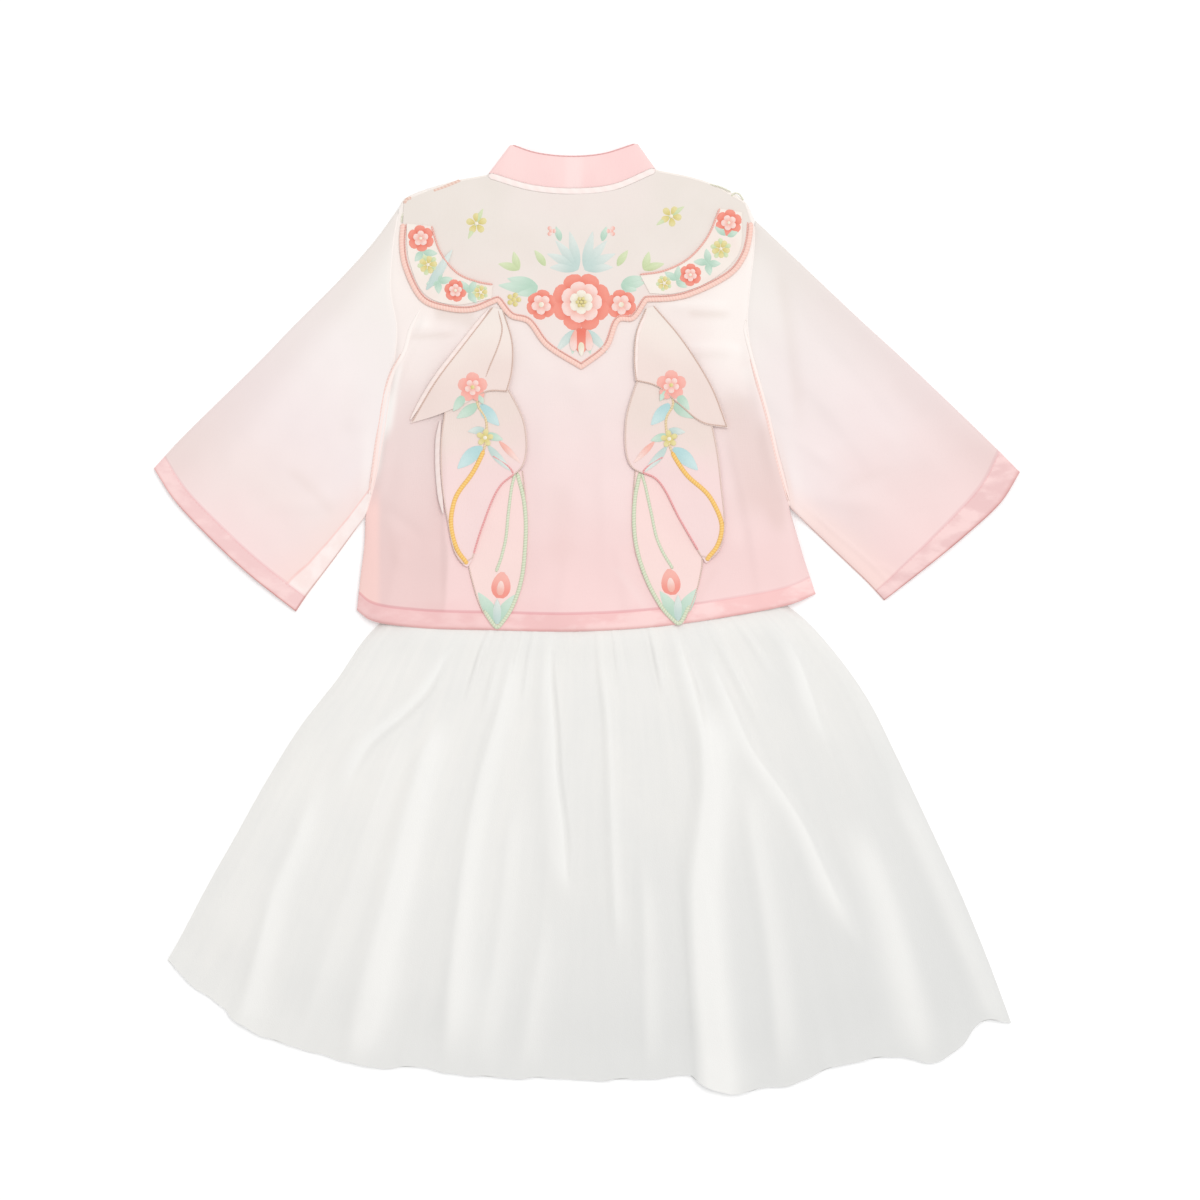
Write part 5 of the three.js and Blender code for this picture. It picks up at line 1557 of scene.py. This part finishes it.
middle_work = {
    "pale": both_sides(
        sprays(-8, 280, [(97, 31, 0.08), (120, 29, 0.12), (143, 27, 0.16), (166, 22, 0.16)], 8.0)
        + sprays(-9, 232, [(222, 24, 0.1)], 7.0)
    ),
    "mint": sprays(-40, 266, [(184, 31, -0.12), (158, 25, 0.1), (206, 17, -0.1)], 9.4)
    + sprays(27, 268, [(358, 19, 0.12), (24, 19, -0.1), (334, 13, 0.1)], 8.0)
    + both_sides(sprays(-7, 232, [(246, 20, 0.16)], 7.0) + sprays(-22, 303, [(100, 12, 0.1)], 5.4)),
    "lime": both_sides(
        sprays(-55, 280, [(158, 17, 0.1), (112, 15, -0.1)], 6.4) + sprays(-34, 283, [(118, 15, 0.1)], 6.0)
    ),
    "yellow": knots(-59, 256, 3.8, 4.0, 5, 0.3) + knots(*PEONY, 3.0, 2.8, 6, 1.9),
    "coral": bloom(*PEONY, 23.5, 8, 22.5, inner=9)
    + both_sides(bloom(*ROSE, 12.0, 6, 20, inner=3.8))
    + [("bud", MIDDLE, 233, 270, 20, 13, 0.0, 0.5)],
    "blush": bloom(*PEONY, 16.5, 7, 0, inner=5.5, lift=0.5)
    + both_sides(bloom(*ROSE, 8.0, 5, 50, lift=0.5))
    + both_sides([("petal", -9.5, 232, 258, 17, 6.5, 0.1, 0.7)])
    + both_sides(knots(-29, 311, 2.6, 3.4, 3, 0.1)),
    "cream": bloom(*PEONY, 9.6, 6, 30, inner=2, lift=1.0)
    + both_sides(knots(*ROSE, 0, 4.2, 0, 1.0))
    + [("bud", MIDDLE, 222, 270, 11, 5.0, 0.0, 1.0)],
}
embroider("middle_lobe", middle_work, on_cloud, cloud_back)

star_work = {"yellow": [], "lime": [], "cream": []}
for x, y, turn in ((-89, 317, 20), (67, 323, -10)):
    star_work["yellow"] += bloom(x, y, 8.4, 5, turn, inner=1.2, wide=0.7)
    star_work["lime"] += sprays(x, y, [(turn + 216, 14.0, 0.1), (turn + 52, 13.0, -0.1)], 4.0)
    star_work["cream"] += knots(x, y, 0, 3.0, 0, 0.5)
star_work["pale"] = [("leaf", -129, 264, 55, 38, 7.4, 0.04, 1.0)]
embroider("star", star_work, on_cloud, cloud_back)

CRESCENT_PLACES = {"left": (0.115, 0.35, 0.69, 0.90), "right": (0.10, 0.31, 0.64, 0.85)}
CRESCENT_FLOWERS = (("rose", 10.6), ("star", 7.4), ("rose", 9.0), ("star", 5.6))
LEAF_TURNS = ((62, -62), (50, -50, 128, -128), (58, -58, 122))
for side, line in crescent_lines.items():
    shares = np.linspace(0, 1, len(line))
    way = np.degrees(np.arctan2(*np.gradient(line, axis=0).T[::-1]))
    work = {"coral": [], "blush": [], "cream": [], "yellow": [], "mint": [], "lime": []}
    order = shares if side == "left" else 1 - shares
    for share, (kind, size) in zip(CRESCENT_PLACES[side], CRESCENT_FLOWERS):
        k = np.abs(order - share).argmin()
        x, y = line[k]
        if kind == "rose":
            work["coral"] += bloom(x, y, size, 6, way[k], inner=2.4)
            work["blush"] += bloom(x, y, size * 0.58, 5, way[k] + 30, lift=0.6)
            work["cream"] += knots(x, y, 0, 2.4, 0, 1.1)
        else:
            work["yellow"] += bloom(x, y, size, 5, way[k], inner=1.0, wide=0.72)
            work["cream"] += knots(x, y, 0, 2.6, 0, 0.5)
            work["lime"] += bloom(x, y, size * 1.15, 5, way[k] + 36, inner=3.4, wide=0.42)
    leaf_places = np.convolve(CRESCENT_PLACES[side], (0.5, 0.5), "valid")
    for share, turns in zip(leaf_places, LEAF_TURNS):
        k = np.abs(order - share).argmin()
        x, y = line[k]
        for turn in turns:
            work["mint"].append(("leaf", x, y, way[k] + turn, 11.5 if turn > 0 else 10.0, 6.0, 0.1, 0.0))
    embroider("crescent_" + side, work, above(crescent_tops[side]), crescent_pieces[side])


# Sprigs down a wing: kind, shares across and down a petal, turn for the left wing, length, width,
# bow and lift of each pad.
SPRIGS = {
    "upper": {
        "salmon": [("petal", 0.57, 0.84, turn, 12, 10.5, 0.0, 0.0) for turn in range(18, 360, 72)],
        "blush": [("petal", 0.57, 0.84, turn, 6.4, 4.8, 0.0, 0.5) for turn in range(54, 360, 72)],
        "yellow": [("knot", 0.57, 0.84, 0, 3.4, 3.4, 0.0, 0.9)],
        "mint": [
            ("leaf", 0.52, 0.90, 226, 16, 7.4, 0.1, 0.0),
            ("leaf", 0.64, 0.91, 306, 12, 5.4, -0.1, 0.0),
        ],
    },
    "middle": {
        "blue": [
            ("leaf", 0.55, 0.07, 303, 22, 10.4, 0.12, 0.2),
            ("leaf", 0.48, 0.30, 216, 26, 11.0, 0.10, 0.2),
        ],
        "pale": [
            ("leaf", 0.55, 0.30, 306, 27, 6.4, 0.1, 0.2),
            ("leaf", 0.52, 0.205, 196, 13, 6.0, -0.1, 0.2),
        ],
        "mint": [
            ("leaf", 0.50, 0.06, 222, 20, 8.6, -0.12, 0.2),
            ("leaf", 0.54, 0.235, 334, 14, 6.4, 0.1, 0.2),
        ],
        "yellow": [("petal", 0.52, 0.255, turn, 7.0, 4.4, 0.0, 0.6) for turn in range(10, 360, 72)],
        "cream": [("knot", 0.52, 0.255, 0, 3.2, 3.2, 0.0, 1.0)],
        "blush": [("leaf", 0.68, 0.29, 314, 24, 5.0, 0.0, 0.1)],
    },
    "tail": {
        "salmon": [("bud", 0.55, 0.78, 84, 21, 15.5, 0.0, 0.0)],
        "blush": [("bud", 0.55, 0.76, 84, 12, 6.4, 0.0, 0.4)],
        "mint": [
            ("leaf", 0.46, 0.965, 112, 29, 10.5, 0.14, 0.0),
            ("leaf", 0.54, 0.965, 68, 27, 10.0, -0.14, 0.0),
        ],
        "pale": [("leaf", 0.50, 0.97, 90, 21, 7.0, 0.0, 0.4)],
    },
}
for side in WINGS:
    for petal, work in SPRIGS.items():
        top, placed = petal_tops[side, petal], {colour: [] for colour in work}
        for colour, shapes in work.items():
            for kind, across, down, turn, length, width, bow, lift in shapes:
                if side == "right":
                    across, turn, bow = 1 - across, 180 - turn, -bow
                x, y = on_grid(top, np.array([across]), np.array([down]))[0, :2]
                if kind == "knot":
                    x, turn = x - length / 2, 0
                placed[colour].append((kind, x, y, turn, length, width, bow, lift))
        name = "wing_" + side + "_" + petal
        embroider(name, placed, above(top), petal_pieces[side, petal])

# ---------------------------------------------------------------- armhole ridges
# The turned seam allowance makes a ridge down each armhole, pale partly in its own colour and partly
# as a painted highlight on the ridge, with a rosy line where it is sewn. On the left it starts as a
# crease from under the cloud collar.
# Each ridge's path and half its width and height; how far aside and from what share of the path
# the rosy seam runs, and half its width.
RIDGES = {
    "left": ([(-134, 249), (-142, 232), (-147, 214), (-156, 197), (-161, 182), (-165, 159), (-168, 141),
              (-171, 118), (-174, 100)], (1.7, 0.6), -1.9, 0.26, 0.8),
    "right": ([(127, 240), (126, 233), (129, 220), (138, 187), (145, 162), (153, 127), (162, 95)],
              (1.5, 0.5), -1.6, 0.22, 1.2),
}
RIDGE_TAPER = 20.0
# Its paleness is partly the cloth's own colour and partly a painted highlight on the ridges; it is pinker towards
# the bottom.
pale_satin, start, feed = new_finish("pale_seam_satin", 0.5, sheen=0.12, specular=0.35)
down_seam = start.places("Object").axis(1)
feed("Base Color", down_seam.step(0.10, 0.24).blend(dye(250, 226, 220), dye(250, 241, 236)))
rosy_thread = twisted("rosy_seam", dye(248, 220, 212), dye(244, 208, 199), 0.003)
for side, (path, thick, aside, rosy_from, wide) in RIDGES.items():
    laid = laid_line(along(path, np.linspace(0, 1, 90)), on_back, 0.0)
    ridge = cords("armhole_" + side + "_ridge", [(laid, *thick)], pale_satin, 12, RIDGE_TAPER)
    sew_on(ridge, jacket_back)
    seam = beside(laid, aside)[int(rosy_from * 90):] + [0, 0, 0.2]
    seam = cords("armhole_" + side + "_seam", [(seam, wide, 0.5)], rosy_thread, 8, RIDGE_TAPER)
    sew_on(seam, jacket_back)

# A strip of the same pale cloth bridges the sewn gap between the jacket and each sleeve.
for side, armhole, aside in (("left", ARMHOLE_LEFT, -0.2), ("right", ARMHOLE_RIGHT, 0.2)):
    line = along(armhole, np.linspace(0.02, 0.99, 120)) + [aside, 0]
    strip = [(laid_line(line, on_back, -0.75), 0.9, 0.5)]
    sew_on(cords("armhole_" + side + "_strip", strip, pale_satin, 6, 4.0), jacket_back)

# ---------------------------------------------------------------- tuck of the left upper petal
# The gauze of the left wing's upper petal is folded over once along a line from its top.
TUCK = [(-71.5, 247), (-68.5, 233), (-69.7, 225), (-73, 215), (-78.5, 202), (-81.5, 194)]
tuck_line = laid_line(along(TUCK, np.linspace(0, 1, 50)), above(petal_tops["left", "upper"]), 0.1)
tuck = cords("wing_left_tuck", [(tuck_line, 0.5, 0.4)], edge_threads["upper"], 6, 6.0)
sew_on(tuck, petal_pieces["left", "upper"])

# ---------------------------------------------------------------- front collar at the shoulders
# The front half of the cloud collar rolls up past the shoulder seams, so a little of its corded
# edge shows along them.
SHOULDER_BITS = {
    "coral": [
        ([(-124, 343), (-113, 347), (-102, 351.5)], (1.5, 0.8)),
        ([(-147, 333), (-144.5, 336.5), (-141, 337.5)], (1.5, 0.9)),
    ],
    "green": [
        ([(98, 348.5), (106, 346.5), (115, 342.5)], (0.6, 0.6)),
        ([(115, 338), (117, 341), (121, 341), (125, 336)], (0.7, 0.7)),
        ([(-149, 318), (-148.5, 323), (-146, 327)], (0.7, 0.6)),
    ],
}
edge_cords = {
    "coral": twisted("shoulder_coral", dye(240, 212, 198), dye(228, 190, 174), 0.003),
    "green": twisted("shoulder_green", dye(234, 232, 214), dye(220, 218, 194), 0.003),
}
for colour, bits in SHOULDER_BITS.items():
    runs = []
    for path, thick in bits:
        line = along(path, np.linspace(0, 1, 24))
        runs.append((laid_line(line, on_cloud, -0.6), *thick))
    sew_on(cords("shoulder_" + colour + "_edge", runs, edge_cords[colour]), cloud_back)

# ---------------------------------------------------------------- machine stitches
# Rows of small running stitches in pink thread hold the turned hem and the turned cuffs.
STITCH_PITCH = 3.2
STITCH_LENGTH = 2.2
STITCH_THICK = 0.32
STITCH_INSET = 1.2  # from the turned edge
STITCH_LIFT = 0.05

tree = bpy.data.node_groups.new("running_stitch", "GeometryNodeTree")
tree.interface.new_socket("Geometry", in_out="INPUT", socket_type="NodeSocketGeometry")
for socket in ("Pitch", "Length", "Thickness"):
    tree.interface.new_socket(socket, in_out="INPUT", socket_type="NodeSocketFloat")
tree.interface.new_socket("Thread", in_out="INPUT", socket_type="NodeSocketMaterial")
tree.interface.new_socket("Geometry", in_out="OUTPUT", socket_type="NodeSocketGeometry")
nodes = {kind: tree.nodes.new("Node" + kind) for kind in ("GroupInput", "GroupOutput")}
for kind in (
    "MeshToCurve", "ResampleCurve", "InstanceOnPoints", "MeshUVSphere", "RealizeInstances",
    "SetMaterial", "InputTangent",
):
    nodes[kind] = tree.nodes.new("GeometryNode" + kind)
nodes["Align"] = tree.nodes.new("FunctionNodeAlignRotationToVector")
nodes["Scale"] = tree.nodes.new("ShaderNodeCombineXYZ")
nodes["ResampleCurve"].mode = "LENGTH"
for socket, value in (("Segments", 6), ("Rings", 4), ("Radius", 0.5)):
    nodes["MeshUVSphere"].inputs[socket].default_value = value
nodes["Align"].axis = "X"
for source, out, target, into in (
    ("GroupInput", "Geometry", "MeshToCurve", "Mesh"),
    ("MeshToCurve", "Curve", "ResampleCurve", "Curve"),
    ("GroupInput", "Pitch", "ResampleCurve", "Length"),
    ("ResampleCurve", "Curve", "InstanceOnPoints", "Points"),
    ("MeshUVSphere", "Mesh", "InstanceOnPoints", "Instance"),
    ("InputTangent", "Tangent", "Align", "Vector"),
    ("Align", "Rotation", "InstanceOnPoints", "Rotation"),
    ("GroupInput", "Length", "Scale", "X"),
    ("GroupInput", "Thickness", "Scale", "Y"),
    ("GroupInput", "Thickness", "Scale", "Z"),
    ("Scale", "Vector", "InstanceOnPoints", "Scale"),
    ("InstanceOnPoints", "Instances", "RealizeInstances", "Geometry"),
    ("RealizeInstances", "Geometry", "SetMaterial", "Geometry"),
    ("GroupInput", "Thread", "SetMaterial", "Material"),
    ("SetMaterial", "Geometry", "GroupOutput", "Geometry"),
):
    tree.links.new(nodes[source].outputs[out], nodes[target].inputs[into])
stitch_settings = {
    socket.name: socket.identifier for socket in tree.interface.items_tree if socket.in_out == "INPUT"
}


def stitches(name, line, thread):
    """Running stitches along a line of points, as one mesh."""
    edges = [(k, k + 1) for k in range(len(line) - 1)]
    mesh = bpy.data.meshes.new(name + "_line")
    mesh.from_pydata((line * MM).tolist(), edges, [])
    guide = bpy.data.objects.new(name + "_line", mesh)
    scene.collection.objects.link(guide)
    worked = guide.modifiers.new("stitches", "NODES")
    worked.node_group = tree
    for setting, size in (("Pitch", STITCH_PITCH), ("Length", STITCH_LENGTH), ("Thickness", STITCH_THICK)):
        worked[stitch_settings[setting]] = size * MM
    worked[stitch_settings["Thread"]] = thread
    done = guide.evaluated_get(bpy.context.evaluated_depsgraph_get())
    piece = bpy.data.objects.new(name, bpy.data.meshes.new_from_object(done))
    piece.data.name = name
    scene.collection.objects.link(piece)
    bpy.data.objects.remove(guide)
    return piece


pink_thread, start, feed = new_finish("pink_thread", 0.5, sheen=0.2)
fibre = start.places("Object").noise(900.0)
feed("Base Color", fibre.step(0.3, 0.7).blend(dye(240, 190, 190), dye(248, 212, 210)))
hem_line = back_top[-1, 4:-4].copy()
hem_line[:, 1] += HEM_TURN - STITCH_INSET
hem_line[:, 2] = on_back(hem_line[:, 0], hem_line[:, 1]) + STITCH_LIFT
sew_on(stitches("hem_stitches", hem_line, pink_thread), jacket_back)
for side, edges in (("left", SLEEVE_LEFT), ("right", SLEEVE_RIGHT)):
    top, sleeve = sleeve_tops[side]
    from_cuff = to_last_row(top)[::-1]
    cuff_line = []
    for column in range(8, top.shape[1] - 8):
        turned = np.interp(sleeve_across[column], (0, 1), edges["cuff_turn"]) - STITCH_INSET
        upward = top[::-1, column]
        cuff_line.append([np.interp(turned, from_cuff[:, column], upward[:, k]) for k in range(3)])
    cuff_line = np.array(cuff_line) + [0, 0, STITCH_LIFT]
    sew_on(stitches("cuff_" + side + "_stitches", cuff_line, pink_thread), sleeve)

size = {"cad_box": [list(corner) for corner in cad_box], "visual_box": [list(corner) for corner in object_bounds()]}
